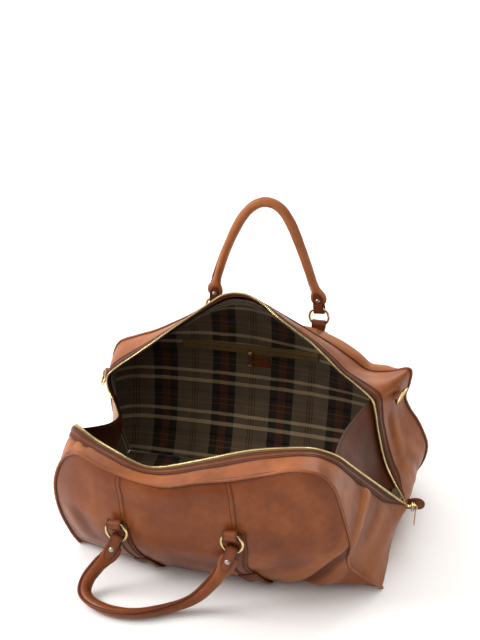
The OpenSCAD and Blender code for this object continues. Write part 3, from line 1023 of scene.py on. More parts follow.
@dataclass(frozen=True)
class PaleFloor:
    """Painted studio floor: nearly white and matt, with the faintest unevenness."""

    name: str = "pale_floor"

    def make(self) -> bpy.types.Material:
        """Builds the material."""
        material, tree, shader, coords = new_material(self.name, Specular_IOR_Level=0.2)
        shader.inputs["Base Color"].default_value = linear(Tone.FLOOR)
        tree.links.new(spread(tree, noise_at(tree, coords, 6.0), 0.3, 0.7, 0.6, 0.7),
                       shader.inputs["Roughness"])
        return material


class Finishes:
    """Every material of the bag, made once."""

    def __init__(self) -> None:
        """Makes the materials."""
        self.tan = SmoothLeather("tan_leather", Tone.TAN, Tone.TAN_DEEP, Tone.TAN_LIGHT).make()
        # Painted shade: the darker copy of the tan leather.
        self.tan_shaded = SmoothLeather("tan_shaded_leather", Tone.TAN_SHADED, Tone.TAN_SHADED_DEEP,
                                    Tone.TAN_SHADED_LIGHT, 0.35).make()
        # Painted light: the lighter copy of the tan leather.
        self.tan_lit = SmoothLeather("tan_lit_leather", Tone.TAN_LIT, Tone.TAN_DEEP, Tone.TAN_LIGHT).make()
        self.trim = SmoothLeather("trim_leather", Tone.TRIM, Tone.TRIM_DEEP, Tone.TRIM_LIGHT, 0.45).make()
        # Painted shade: a darker copy of the leather for the folds at the ends of the mouth, which lie in
        # shade inside the bag.
        self.inner = SmoothLeather("inner_shaded_leather", Tone.TAN_DEEP, Tone.TRIM_DEEP, Tone.TRIM,
                                   0.5).make()
        self.edge = CutEdge().make()
        self.brass = Metal("pale_brass", Tone.BRASS, Tone.BRASS_WORN, 0.2).make()
        self.nickel = Metal("satin_nickel", Tone.NICKEL, Tone.TAUPE, 0.3).make()
        self.lining = CheckedLining().make()
        self.tape = WovenTape("zip_tape", Tone.TAPE).make()
        self.binding = WovenTape("seam_binding", Tone.BINDING, 1100.0).make()
        self.thread = Thread().make()
        self.floor = PaleFloor().make()


def place(made: bpy.types.Object, body: str, slot: str, *nodes: str) -> bpy.types.Object:
    """Puts a piece on its body, in place of its solid parts.

    Args:
        made: The piece.
        body: Body that it moves with.
        slot: Not used.
        nodes: Solid parts that it stands for.

    Returns:
        The same piece.
    """
    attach(made, body)
    if nodes:
        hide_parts(*nodes)
    LOG.info("%s: %d points on %s", made.name, len(made.data.vertices), body)
    return made


# ---- the bag's shape ----


@dataclass
class BagShape:
    """Seams of the open, slumped bag and the coarse grids between them, in millimetres."""

    half_length: float = 245.0
    half_depth: float = 126.0
    top_steps: int = 16
    side_steps: int = 10
    end_steps: int = 2
    tape: float = 5.0
    facing: float = 15.0
    zip_right: tuple = (270, 0, 64)
    zip_left: tuple = (-246, -4, 66)
    front_seam: tuple = (
        (245, -126, 2), (224, -140, 28), (198, -152, 56), (192, -166, 88), (196, -176, 122),
        (184, -180, 176), (168, -182, 228), (148, -184, 252), (112, -187, 256), (70, -188, 242),
        (20, -188, 224), (-30, -188, 211), (-78, -188, 196), (-130, -184, 198), (-178, -176, 207),
        (-216, -164, 215), (-240, -155, 200), (-258, -149, 170), (-268, -146, 130),
        (-266, -142, 80), (-254, -134, 30), (-245, -126, 2))
    back_seam: tuple = (
        (245, 126, 2), (280, 133, 38), (292, 137, 84), (275, 138, 130), (248, 136, 176),
        (252, 140, 208), (250, 142, 234), (220, 142, 226), (184, 142, 223), (134, 142, 256),
        (56, 142, 299), (-20, 142, 336), (-70, 142, 326), (-130, 142, 286), (-190, 140, 252),
        (-246, 138, 228), (-262, 135, 190), (-270, 133, 130), (-266, 131, 70), (-254, 129, 28),
        (-245, 126, 2))
    front_mouth: tuple = (
        (270, 0, 64), (234, -38, 121), (196, -75, 178), (162, -108, 229), (138, -120, 245),
        (110, -130, 252), (38, -136, 240), (-38, -138, 211), (-92, -138, 191), (-124, -136, 186),
        (-156, -132, 195), (-204, -124, 214), (-238, -108, 224), (-256, -76, 196),
        (-256, -38, 128), (-246, -4, 66))
    back_mouth: tuple = (
        (270, 0, 64), (230, 22, 122), (208, 40, 192), (197, 50, 227), (143, 68, 261),
        (98, 80, 298), (42, 90, 332), (10, 93, 357), (-42, 95, 370), (-116, 85, 316),
        (-190, 68, 256), (-228, 58, 227), (-246, 48, 203), (-232, 44, 160), (-222, 30, 116),
        (-246, -4, 66))

    def __post_init__(self) -> None:
        """Works out the coarse grids."""
        side, top, end = self.side_steps, self.top_steps, self.end_steps
        front = three_stretches(self.front_seam, (7, 15), side, top)
        back = three_stretches(self.back_seam, (6, 15), side, top)
        self.front_edge, self.back_edge = joined(front), joined(back)
        self.front_zip = joined(three_stretches(self.front_mouth, (4, 11), side - end, top))
        self.back_zip = joined(three_stretches(self.back_mouth, (3, 11), side - end, top))
        self.front_rim, self.back_rim = self.with_feet(self.front_zip), self.with_feet(self.back_zip)
        y = self.half_depth
        low = [straight((self.half_length, s * y, 2), (-self.half_length, s * y, 2), top)
               for s in (-1, 1)]
        self.front_panel = patch(low[0], front[1], front[0], front[2][::-1], 34, (0, -1, -0.3),
                                 0.7, 0.6)
        self.back_panel = patch(low[1], back[1], back[0], back[2][::-1], 58, (0, 1, 0.05), 1.4, 0.42)
        self.front_gusset = strip(self.front_edge, self.beside(0, self.tape + self.facing), 3, 2)
        self.back_gusset = strip(self.back_edge, self.beside(1, self.tape + self.facing), 3, 2)

    def with_feet(self, line: np.ndarray) -> np.ndarray:
        """A zip line carried down the end seams to the base."""
        x, end = self.half_length + 5, self.end_steps
        return np.concatenate([straight((x, 0, 2), self.zip_right, end), line[1:],
                               straight(self.zip_left, (-x, 0, 2), end)[1:]])

    def beside(self, which: int, distance: float) -> np.ndarray:
        """A line beside the rim of the mouth, toward its seam.

        Args:
            which: 0 for the front rim, 1 for the back one.
            distance: How far from the rim, in millimetres.

        Returns:
            Points of the line.
        """
        rim = (self.front_rim, self.back_rim)[which]
        edge = (self.front_edge, self.back_edge)[which]
        steps = np.arange(len(rim))
        inside = np.minimum(steps - self.end_steps, len(rim) - 1 - self.end_steps - steps)
        share = (inside / 2).clip(0, 1)[:, None]
        return rim + unit(edge - rim) * distance * share

    def zip_part(self, line: np.ndarray) -> np.ndarray:
        """The part of a full line that runs beside the zip."""
        return line[self.end_steps:len(line) - self.end_steps]


# ---- pieces ----


@dataclass
class Shell:
    """Leather panels, gussets and base, with piping in the panel seams.

    Args:
        shape: The bag's seams.
        finishes: The materials.
        corner: Radius of the base's corners.
        inset: How far the base stands back from its seams.
        piping: Radius of the piping.
        shade_line: Radius of the dark line of painted shade beside it.
    """

    shape: BagShape
    finishes: Finishes
    corner: float = 14.0
    inset: float = 2.5
    piping: float = 2.3
    shade_line: float = 0.62

    def __post_init__(self) -> None:
        """Relaxes each grid into its slumped surface."""
        shape = self.shape
        slump = [
            Crease([(222, -182, 150), (195, -173, 109), (175, -173, 84), (156, -169, 54),
                    (130, -160, 22), (112, -150, 0)], 9.0, 9.0, 0.5),
            Crease([(120, -190, 96), (80, -188, 60), (30, -180, 34)], 1.6, 12.0, 0.7),
            Crease([(-60, -196, 66), (-10, -200, 58), (40, -200, 64)], 1.2, 12.0, 0.5),
            Crease([(-235, -165, 120), (-215, -172, 90), (-200, -166, 50)], 1.6, 12.0, 0.6),
            Crease([(165, -190, 190), (172, -186, 150), (170, -184, 100)], 1.0, 10.0, 0.7),
        ]
        self.front = Surface(refined(shape.front_panel), slump, 2.4, 95.0, 3.1)
        self.back = Surface(refined(shape.back_panel), [
            Crease([(262, 145, 200), (236, 152, 222), (196, 158, 220), (150, 162, 238),
                    (100, 165, 268), (70, 165, 290)], -24.0, 26.0, 0.0),
            Crease([(-190, 170, 190), (-120, 190, 150), (-60, 192, 140)], 2.0, 14.0, 0.5),
            Crease([(210, 158, 190), (170, 178, 140), (150, 180, 90)], 2.4, 12.0, 0.5),
        ], 2.6, 100.0, 7.7)
        self.front_gusset = Surface(refined(shape.front_gusset, 9, REFINE), [
            Crease([(206, -50, 166), (208, -80, 153), (207, -124, 140), (199, -163, 121),
                    (190, -180, 100)], -5.0, 12.0, 0.5),
            Crease([(224, -60, 120), (226, -100, 100), (214, -150, 84)], 3.0, 11.0, 0.5),
            Crease([(-242, -124, 214), (-233, -134, 216), (-226, -150, 206)], 2.2, 4.5, 0.8),
            Crease([(-228, -126, 219), (-216, -142, 215), (-208, -154, 207)], 1.8, 4.5, 0.8),
            Crease([(-262, -120, 190), (-266, -100, 140), (-262, -80, 90)], 2.0, 9.0, 0.6),
        ], 1.8, 60.0, 1.3)
        self.back_gusset = Surface(refined(shape.back_gusset, 9, REFINE), [
            Crease([(222, 80, 190), (240, 60, 150), (256, 50, 110)], 2.4, 8.0, 0.7),
            Crease([(262, 70, 110), (280, 90, 80), (282, 100, 50)], 2.0, 8.0, 0.6),
            Crease([(-250, 90, 160), (-256, 70, 110), (-254, 50, 70)], 2.4, 9.0, 0.6),
        ], 1.8, 60.0, 5.9)

    def build(self) -> None:
        """Makes the leather sheets and the base."""
        f = self.finishes
        for name, surface in (("front_panel", self.front), ("back_panel", self.back),
                              ("front_gusset", self.front_gusset), ("back_gusset", self.back_gusset)):
            inner = surface.grid + inward(surface.grid) * LEATHER
            # Painted shade: the front panel takes the darker copy of the tan leather.
            hide = f.tan_shaded if name == "front_panel" else f.tan
            place(sheet_mesh(name + "_leather", surface.grid, inner, hide, surface.fold), "shell",
                  "tan_leather", name)
        self.base()

    def base(self) -> None:
        """Makes the flat base with rounded corners."""
        s = self.shape
        corner, inset = self.corner, self.inset
        outline = []
        for k, (sx, sy) in enumerate(((1, 1), (-1, 1), (-1, -1), (1, -1))):
            cx = sx * (s.half_length - inset - corner)
            cy = sy * (s.half_depth - inset - corner)
            for t in np.linspace(k * 90, k * 90 + 90, 9):
                outline.append((cx + corner * math.cos(math.radians(t)),
                                cy + corner * math.sin(math.radians(t))))
        ring = np.array(outline)
        levels = [(0.985, 0.0), (1.0, 0.7), (1.0, 1.6), (0.985, 2.2)]
        points = [np.c_[ring * scale, np.full(len(ring), z)] for scale, z in levels]
        n = len(ring)
        faces = [[a * n + i, a * n + (i + 1) % n, (a + 1) * n + (i + 1) % n, (a + 1) * n + i]
                 for a in range(3) for i in range(n)]
        faces += [list(range(n))[::-1], [3 * n + i for i in range(n)]]
        place(mesh_object("base_leather", np.concatenate(points), faces, self.finishes.trim),
              "shell", "trim_leather", "base_panel")

    def dress(self) -> None:
        """Adds the piping cords and the dark tubes of painted shade on both sides of them."""
        for name, edge in (("front_piping", self.shape.front_edge),
                           ("back_piping", self.shape.back_edge)):
            line = spline(edge, 0, len(edge) - 1, REFINE)
            line = line - inward(line)
            line[:, 2] = line[:, 2].clip(2.5)
            ripple = self.piping + 0.12 * np.sin(np.arange(len(line)) * 1.7)
            points, faces = tube(line, ripple, 14)
            # Painted highlight: a small raised-fold value lightens the whole cord a little.
            fold = np.full(len(points), 0.2)
            place(mesh_object(name + "_cord", points, faces, self.finishes.tan, fold=fold, crisp=80),
                  "shell", "trim_leather", name)
        # Painted shade: thin tubes in the dark edge paint lie on both sides of each cord, where the
        # seam's shade falls.
        edge_and_shade_tubes = Gathered()
        for panel, gusset in ((self.front, self.front_gusset), (self.back, self.back_gusset)):
            g = panel.grid
            edge = np.concatenate([g[:, 0], g[-1, 1:], g[-2::-1, -1]])
            beside = np.concatenate([g[:, 2], g[-3, 1:-1], g[-1:, -3], g[-2::-1, -3]])
            for near, rise in ((beside, 0.8), (gusset.grid[3], 1.5)):
                line = edge + unit(near - edge) * 2.7 - inward(edge) * rise
                line[:, 2] = line[:, 2].clip(1.2)
                edge_and_shade_tubes.add(tube(line, self.shade_line, 8))
        place(edge_and_shade_tubes.build("piping_shade_lines", self.finishes.edge, 80), "shell", "trim_leather")


@dataclass
class PanelSeam:
    """Joint between two pieces of a panel: a narrow raised fold with stitches on both sides.

    Args:
        surface: The panel.
        path: Shares along the panel that the seam passes through.
        name: The piece's name.
        width: Width of the fold.
        thick: Its thickness.
        beside: Distance from its middle to each row of stitches.
    """

    surface: Surface
    path: Sequence[Sequence[float]]
    name: str
    width: float = 5.4
    thick: float = 1.5
    beside: float = 3.7

    def __post_init__(self) -> None:
        """Lays the seam on its panel."""
        self.line, self.normals = self.surface.line(self.path, 60)

    def build(self, finishes: Finishes, thread: Stitches) -> None:
        """Makes the fold and its two rows of stitches.

        Args:
            finishes: The materials.
            thread: Where the stitches are gathered.
        """
        along = unit(np.gradient(self.line, axis=0))
        across = unit(np.cross(self.normals, along))
        fade = np.sin(np.pi * np.linspace(0.04, 0.96, len(self.line))) ** 0.25
        points, faces = sweep(self.line + self.normals * 0.1, across, self.normals,
                              self.width * fade, self.thick * fade, 3.0, 14)
        # Painted shade: the raised seam takes the darker copy of the tan leather.
        place(mesh_object(self.name, points, faces, finishes.tan_shaded, crisp=80), "shell",
              "tan_leather")
        for side in (-1, 1):
            thread.row(self.line + across * side * self.beside + self.normals * 0.1, self.normals)


@dataclass
class ZipMouth:
    """The two halves of the open zip: stitched facing, woven tape and metal teeth.

    Args:
        shape: The bag's seams.
        finishes: The materials.
        rows: Where the facing is stitched, as shares of its width.
        pitch: Distance from tooth to tooth.
        tooth: Size of a tooth along the zip, out from the tape and through it.
    """

    shape: BagShape
    finishes: Finishes
    rows: tuple = (0.13, 0.30, 0.72, 0.88)
    pitch: float = 2.9
    tooth: tuple = (1.75, 3.8, 3.0)

    def build(self, thread: Stitches) -> None:
        """Makes both halves.

        Args:
            thread: Where the stitches are gathered.
        """
        f, s = self.finishes, self.shape
        for which, name in ((0, "front"), (1, "back")):
            outer = s.zip_part(s.beside(which, s.tape + s.facing))
            tape = s.zip_part(s.beside(which, s.tape))
            rim = s.zip_part((s.front_rim, s.back_rim)[which])
            grid = refined(np.stack([outer + (tape - outer) * t for t in (-0.08, 0.3, 0.65, 1.0)]), 6)
            out = -inward(grid)
            v = np.linspace(0, 1, len(grid))[:, None]
            crown = 0.9 + 0.7 * np.sin(np.pi * v.clip(0.02, 0.98)) ** 0.6
            pucker = drift(grid, 14.0, 2.0 + which) * 0.5 * np.sin(np.pi * v)
            skin = grid + out * (crown + pucker)[..., None]
            surface = Surface(skin)
            under = grid + inward(grid) * 1.6
            sewn = sum(np.exp(-(((v - row) / 0.05) ** 2)) for row in self.rows)
            skin = skin - out * (sewn * 0.35)[..., None]
            # Painted shade and highlight: the material darkens the sunk stitch lines and the hollows of
            # the puckers, and lightens the puckers' crowns.
            fold = (pucker * 2.2) - 0.3 - sewn * 2.6
            place(sheet_mesh(name + "_facing", skin, under, [f.trim, f.edge], fold, 1), "shell",
                  "trim_leather", name + "_zip_facing")
            edge_and_shade_tubes = Gathered()
            for share in (0.0, 1.0):
                line, _ = surface.line([(0.0, share), (0.5, share), (1.0, share)], 400)
                edge_and_shade_tubes.add(tube(line - inward(line) * 0.1, 0.5, 6))
            place(edge_and_shade_tubes.build(name + "_facing_edges", f.edge, 80), "shell", "trim_leather")
            for share in self.rows:
                line, normals = surface.line([(0.012, share), (0.5, share), (0.988, share)], 500)
                thread.row(line, normals * np.sign(np.sum(normals * -inward(line))))
            woven = refined(np.stack([tape + (rim - tape) * t for t in (-0.7, 0.3, 1.0)]), 3)
            place(sheet_mesh(name + "_tape", woven + inward(woven) * 0.4,
                             woven + inward(woven) * 1.5, f.tape), "shell", "zip_cloth",
                  name + "_zip_tape")
            self.teeth(name, rim, tape)

    def teeth(self, name: str, rim: np.ndarray, tape: np.ndarray) -> None:
        """Makes one row of teeth along an edge.

        Args:
            name: Which half.
            rim: The tape's free edge.
            tape: The line where the tape meets its facing.
        """
        line = spline(rim, 0, len(rim) - 1, REFINE)
        base = spline(tape, 0, len(tape) - 1, REFINE)
        run = lengths(line)
        count = int(run[-1] / self.pitch)
        at = (np.arange(count) + 0.5) * run[-1] / count
        middle, edge = points_at(at, run, line), points_at(at, run, base)
        along = unit(points_at(at + 1, run, line) - middle)
        out = -inward(middle)
        reach = unit(middle - edge + along * 1e-6)
        reach = unit(reach - np.sum(reach * along, axis=1, keepdims=True) * along)
        up = np.cross(along, reach)
        up = up * np.sign(np.sum(up * out, axis=1, keepdims=True))
        tooth, faces = soft_box(self.tooth, 0.45)
        row = Gathered()
        for m, a, r, u in zip(middle, along, reach, up):
            row.add((turned(a, r, u, m - r * 0.3, tooth), faces))
        row.add(tube(line, 0.95, 8))
        place(row.build(name + "_teeth", self.finishes.brass, 30), "shell", "brass",
              name + "_zip_teeth")


@dataclass
class Lining:
    """Checked cotton lining with bound seams, and the leather folds at both ends of the mouth.

    Args:
        shape: The bag's seams.
        shell: The leather, whose folds the lining follows.
        finishes: The materials.
        cloth: Thickness of the lining.
        leather: Thickness of the folds at the ends.
        deep: Folds deeper than this show in the lining too.
    """

    shape: BagShape
    shell: Shell
    finishes: Finishes
    cloth: float = 1.2
    leather: float = 1.6
    deep: float = 2.5

    def __post_init__(self) -> None:
        """Lays the lining inside the leather."""
        shell, back = self.shell, refined(self.shape.back_panel)
        self.back = Surface(back + inward(back) * LINING_DEPTH, [], 3.2, 62.0, 11.0, True)
        self.folds_by_sheet = {"front_lining": shell.front.creases,
                               "front_gusset_lining": shell.front_gusset.creases,
                               "back_gusset_lining": shell.back_gusset.creases}

    def build(self) -> None:
        """Makes the loose lining sheets."""
        f, s = self.finishes, self.shape
        sheets = {"back_lining": self.back}
        for name, grid, seed in (("front_lining", refined(s.front_panel), 4.0),
                                 ("front_gusset_lining", refined(s.front_gusset, 6, REFINE), 8.0),
                                 ("back_gusset_lining", refined(s.back_gusset, 6, REFINE), 15.0)):
            creases = [c for c in self.folds_by_sheet[name] if c.depth > self.deep]
            sheets[name] = Surface(grid + inward(grid) * LINING_DEPTH, creases, 2.4, 55.0, seed, True)
        for name, surface in sheets.items():
            grid = surface.grid
            climb = np.linalg.norm(np.diff(grid, axis=0, prepend=grid[:1]), axis=-1).cumsum(0)
            run = grid[..., 0] if "gusset" not in name else grid[..., 1] - grid[..., 0] * 0.4
            cloth = np.stack([run + 52.0, climb + 22.0], -1)
            made = sheet_mesh(name + "_cloth", grid, grid + inward(grid) * self.cloth, f.lining,
                              cloth=cloth)
            place(made, "shell", "lining_cloth", name)
        x, y = s.half_length - 8, s.half_depth - 8
        rows = np.stack([straight((x, t, 6.1), (-x, t, 6.1), 60) for t in np.linspace(-y, y, 31)])
        rows[..., 2] += np.abs(drift(rows, 90.0, 21.0)) * 1.2
        up = rows + np.array([0, 0, self.cloth])
        place(sheet_mesh("base_lining_cloth", rows, up, f.lining), "shell", "lining_cloth",
              "base_lining", "base_board")
        for name, edge in (("front", s.front_edge), ("back", s.back_edge)):
            line = spline(edge, 0, len(edge) - 1, 4)
            line = line + inward(line) * (LINING_DEPTH + 3.0)
            line[:, 2] = line[:, 2].clip(9)
            across, _ = carried(line, np.array([0.0, 1.0, 0.0]))
            points, faces = sweep(line, across, inward(line), 5.0, 2.6, 3.0, 10)
            place(mesh_object(name + "_seam_binding", points, faces, f.binding, crisp=80), "shell",
                  "zip_cloth")

    def folds(self, thread: Stitches) -> None:
        """Makes the two leather folds that stop the mouth from opening further.

        Args:
            thread: Where the stitches are gathered.
        """
        f, s = self.finishes, self.shape
        front, back = s.beside(0, 8.0), s.beside(1, 8.0)
        ends = {"right": (front[2:10], back[2:11]), "left": (front[-3:-10:-1], back[-3:-8:-1])}
        for side, lines in ends.items():
            rows = [evenly(line + inward(line) * 5, 6)[1:] for line in lines]
            grid = refined(strip(rows[0], rows[1], 4, -14))
            u = np.linspace(0, 1, grid.shape[1])[None, :]
            v = np.linspace(0, 1, grid.shape[0])[:, None]
            wave = 2.2 * np.sin(np.pi * v) * np.sin(2.6 * np.pi * u + 0.6)
            skin = grid + inward(grid) * (1 + wave)[..., None]
            outer = skin + inward(skin) * self.leather
            # Painted shade: the folds take the darker leather, and the material lightens and darkens them
            # with the height of their waves.
            place(sheet_mesh(side + "_fold", skin, outer, [f.inner, f.edge], wave * 0.4, 1), "shell",
                  "trim_leather", side + "_inner_gusset")
            painted = tube((skin[:, -1] + outer[:, -1]) / 2, 0.9, 8)
            place(mesh_object(side + "_fold_edge", *painted, f.edge, crisp=80), "shell",
                  "trim_leather")
            for face, sign in ((skin, -1), (outer, 1)):
                line = face[3:-3, -3]
                thread.row(line, inward(line) * sign)


@dataclass
class Pocket:
    """Zip pocket in the back lining: tape, teeth, leather patch, slider and puller.

    Args:
        lining: The lining that the pocket is sewn to.
        finishes: The materials.
        ends: Where its zip ends, as shares along the lining.
        height: Lowest point of the zip.
        sag: How fast the zip rises toward its ends.
        pitch: Distance from tooth to tooth.
    """

    lining: Lining
    finishes: Finishes
    ends: tuple = (0.29, 0.78)
    height: float = 211.0
    sag: float = 100.0
    pitch: float = 2.1

    def row(self, ends: Sequence[float], offset: float, count: int) -> np.ndarray:
        """Points on the lining at one height beside the pocket's zip.

        Args:
            ends: Shares along the lining where the row ends.
            offset: Height above the zip.
            count: Steps in the row.

        Returns:
            The points.
        """
        surface = self.lining.back
        shares = np.linspace(ends[0], ends[1], count + 1)
        out = []
        for u in shares:
            v = np.linspace(0.2, 0.99, 80)
            column, _ = surface.at(np.full(80, u), v)
            goal = self.height + self.sag * (u - 0.52) ** 2 + offset
            out.append([np.interp(goal, column[:, 2], column[:, k]) for k in range(3)])
        return np.array(out)

    def build(self, thread: Stitches) -> None:
        """Makes the fixed parts of the pocket.

        Args:
            thread: Where the stitches are gathered.
        """
        f = self.finishes
        for name, ends, low, high, depth, thick, material, slot, nodes in (
            ("pocket_tape", self.ends, -9, 9, 2.0, 1.0, f.tape, "zip_cloth",
             ("pocket_zip_tape", "pocket_pouch")),
            ("pocket_patch_leather", (0.49, 0.545), -33, -12, 2.0, 1.8, [f.trim, f.edge],
             "trim_leather", ("pocket_patch",)),
        ):
            rows = np.stack([self.row(ends, h, 60) for h in np.linspace(low, high, 7)])
            near = rows + inward(rows) * depth
            far = rows + inward(rows) * (depth + thick)
            place(sheet_mesh(name, near, far, material, None,
                             1 if isinstance(material, list) else 0), "shell", slot, *nodes)
            for h in (low + 2.0, high - 2.0):
                line = self.row(ends, h, 60)
                line = line + inward(line) * (depth + thick + 0.1)
                thread.row(line[2:-2], inward(line)[2:-2], StitchStyle(3.6, 2.6, 0.4, 0.15))
        line = self.row(self.ends, 0, 120)
        line = line + inward(line) * 3.4
        tooth, faces = soft_box((1.3, 2.0, 4.2), 0.35)
        row = Gathered()
        run = lengths(line)
        for at in np.arange(1, run[-1], self.pitch):
            m = points_at(at, run, line)
            a = unit(points_at(at + 1, run, line) - m)
            out = inward(m)
            out = unit(out - (out @ a) * a)
            row.add((turned(a, out, np.cross(a, out), m, tooth), faces))
        place(row.build("pocket_teeth", f.brass, 30), "shell", "brass", "pocket_zip_teeth")
        self.slider()

    def slider(self) -> None:
        """Makes the pocket's slider and its puller."""
        f = self.finishes
        low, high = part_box("pocket_slider")
        middle = np.array((low + high) / 2) / MM + np.array([0, 1.2, 0])
        body = Gathered()
        points, faces = soft_box((9.5, 3.0, 7.6), 0.9)
        body.add((points + middle, faces))
        bridge = np.array([[0, 1.0, 3.0], [0, -2.4, 2.4], [0, -3.6, 0], [0, -2.4, -2.4], [0, 1.0, -3.0]])
        body.add(tube(spline(bridge, 0, 4, 5) + middle, 0.9, 8))
        place(body.build("pocket_zip_slider", f.brass), "pocket_slider", "brass", "pocket_slider")
        low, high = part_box("pocket_puller")
        x, y = (low.x + high.x) / 2 / MM, (low.y + high.y) / 2 / MM
        pull = wire_loop(7.0, high.z / MM - low.z / MM - 1.5, 0.75, 1.6)
        place(mesh_object("pocket_pull_wire", pull[0] + np.array([x, y, high.z / MM - 0.75]), pull[1],
                          f.brass, crisp=60), "pocket_puller", "brass", "pocket_puller")
        low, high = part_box("pocket_pull_leather")
        points, faces = soft_box(np.array(high - low) / MM * (1, 1.3, 1), 0.5)
        place(mesh_object("pocket_pull_strip", points + np.array((low + high) / 2) / MM, faces,
                          f.trim), "pocket_puller", "trim_leather", "pocket_pull_leather")


def wire_loop(width: float, drop: float, radius: float, corner: float) -> tuple:
    """Closed wire rectangle that hangs below its own origin in X and Z.

    Args:
        width: Its width outside.
        drop: Distance from its top wire to its bottom wire.
        radius: Radius of the wire.
        corner: Radius of its corners.

    Returns:
        Vertex positions and faces.
    """
    half = width / 2 - radius
    path = []
    for cx, cz, start in ((half - corner, -corner, 90), (-half + corner, -corner, 180),
                          (-half + corner, -drop + corner, 270), (half - corner, -drop + corner, 360)):
        for t in np.linspace(start - 90, start, 7):
            path.append((cx + corner * math.cos(math.radians(t)), 0,
                         cz + corner * math.sin(math.radians(t))))
    order = np.array(path)
    middle = order.mean(0)
    turn = np.argsort(np.arctan2(order[:, 2] - middle[2], order[:, 0] - middle[0]))
    line = order[turn]
    along = unit(np.roll(line, -1, 0) - np.roll(line, 1, 0))
    normal = np.repeat(np.array([[0.0, 1.0, 0.0]]), len(line), 0)
    return sweep(line, np.cross(normal, along), normal, 2 * radius, 2 * radius, 2.0, 12, True)


@dataclass
class Strap:
    """Leather strap sewn up a panel, from the base to the ring tab.

    Args:
        surface: The panel.
        node: The solid part that it stands for.
        low: Shares along the panel at its lower end.
        high: The same at its upper end.
        width: Its width.
        thick: Its thickness.
    """

    surface: Surface
    node: str
    low: tuple
    high: tuple
    width: float = 25.0
    thick: float = 2.2

    def __post_init__(self) -> None:
        """Lays the strap on its panel."""
        self.line, self.normals = self.surface.line([self.low, self.high], 70)
        self.along = unit(np.gradient(self.line, axis=0))
        self.across = unit(np.cross(self.normals, self.along))

    def build(self, finishes: Finishes, thread: Stitches, edges: Gathered) -> None:
        """Makes the strap, its lower band, their stitches and painted edges.

        Args:
            finishes: The materials.
            thread: Where the stitches are gathered.
            edges: Where the painted edges are gathered.
        """
        middle = self.line + self.normals * (self.thick / 2 + 0.2)
        points, faces = sweep(middle, self.across, self.normals, self.width, self.thick, 9.0, 28)
        fold = np.full(len(points), -0.2)
        place(mesh_object(self.node + "_leather", points, faces, finishes.trim, fold=fold, crisp=50),
              "shell", "trim_leather", self.node)
        for side in (-1, 1):
            for reach, rise in ((self.width / 2 + 0.3, 0.4), (self.width / 2 - 4.6, 1.35)):
                edges.add(tube(middle + self.across * side * reach + self.normals * (rise - 0.4),
                               0.65, 8))
        top = self.line + self.normals * (self.thick + 0.25)
        for side in (-1, 1):
            thread.row(top + self.across * side * (self.width / 2 - 2.6), self.normals)
            thread.row(top[22:] + self.across[22:] * side * (self.width / 2 - 6.4), self.normals[22:])
        cut = slice(0, 20)
        band, faces = sweep(middle[cut] + self.normals[cut] * 1.0, self.across[cut], self.normals[cut],
                            self.width + 7, self.thick + 1.4, 9.0, 28)
        place(mesh_object(self.node + "_band", band, faces, finishes.trim, crisp=50), "shell",
              "trim_leather")
        for side in (-1, 1):
            edges.add(tube(middle[cut] + self.across[cut] * side * (self.width / 2 + 3.6)
                           + self.normals[cut] * 1.2, 0.7, 8))
        end = middle[19] + self.normals[19] * 2.6
        wide = np.linspace(-0.5, 0.5, 8)[:, None] * self.across[19] * (self.width + 6)
        edges.add(tube(end + wide, 0.7, 8))
        edge = top[cut] + self.normals[cut] * 1.7
        for side in (-1, 1):
            thread.row(edge + self.across[cut] * side * (self.width / 2 + 0.8), self.normals[cut])
        for i in (17, 14):
            end = edge[i] + np.linspace(-1, 1, 9)[:, None] * self.across[i] * (self.width / 2)
            thread.row(end, np.repeat(self.normals[i][None], 9, 0))


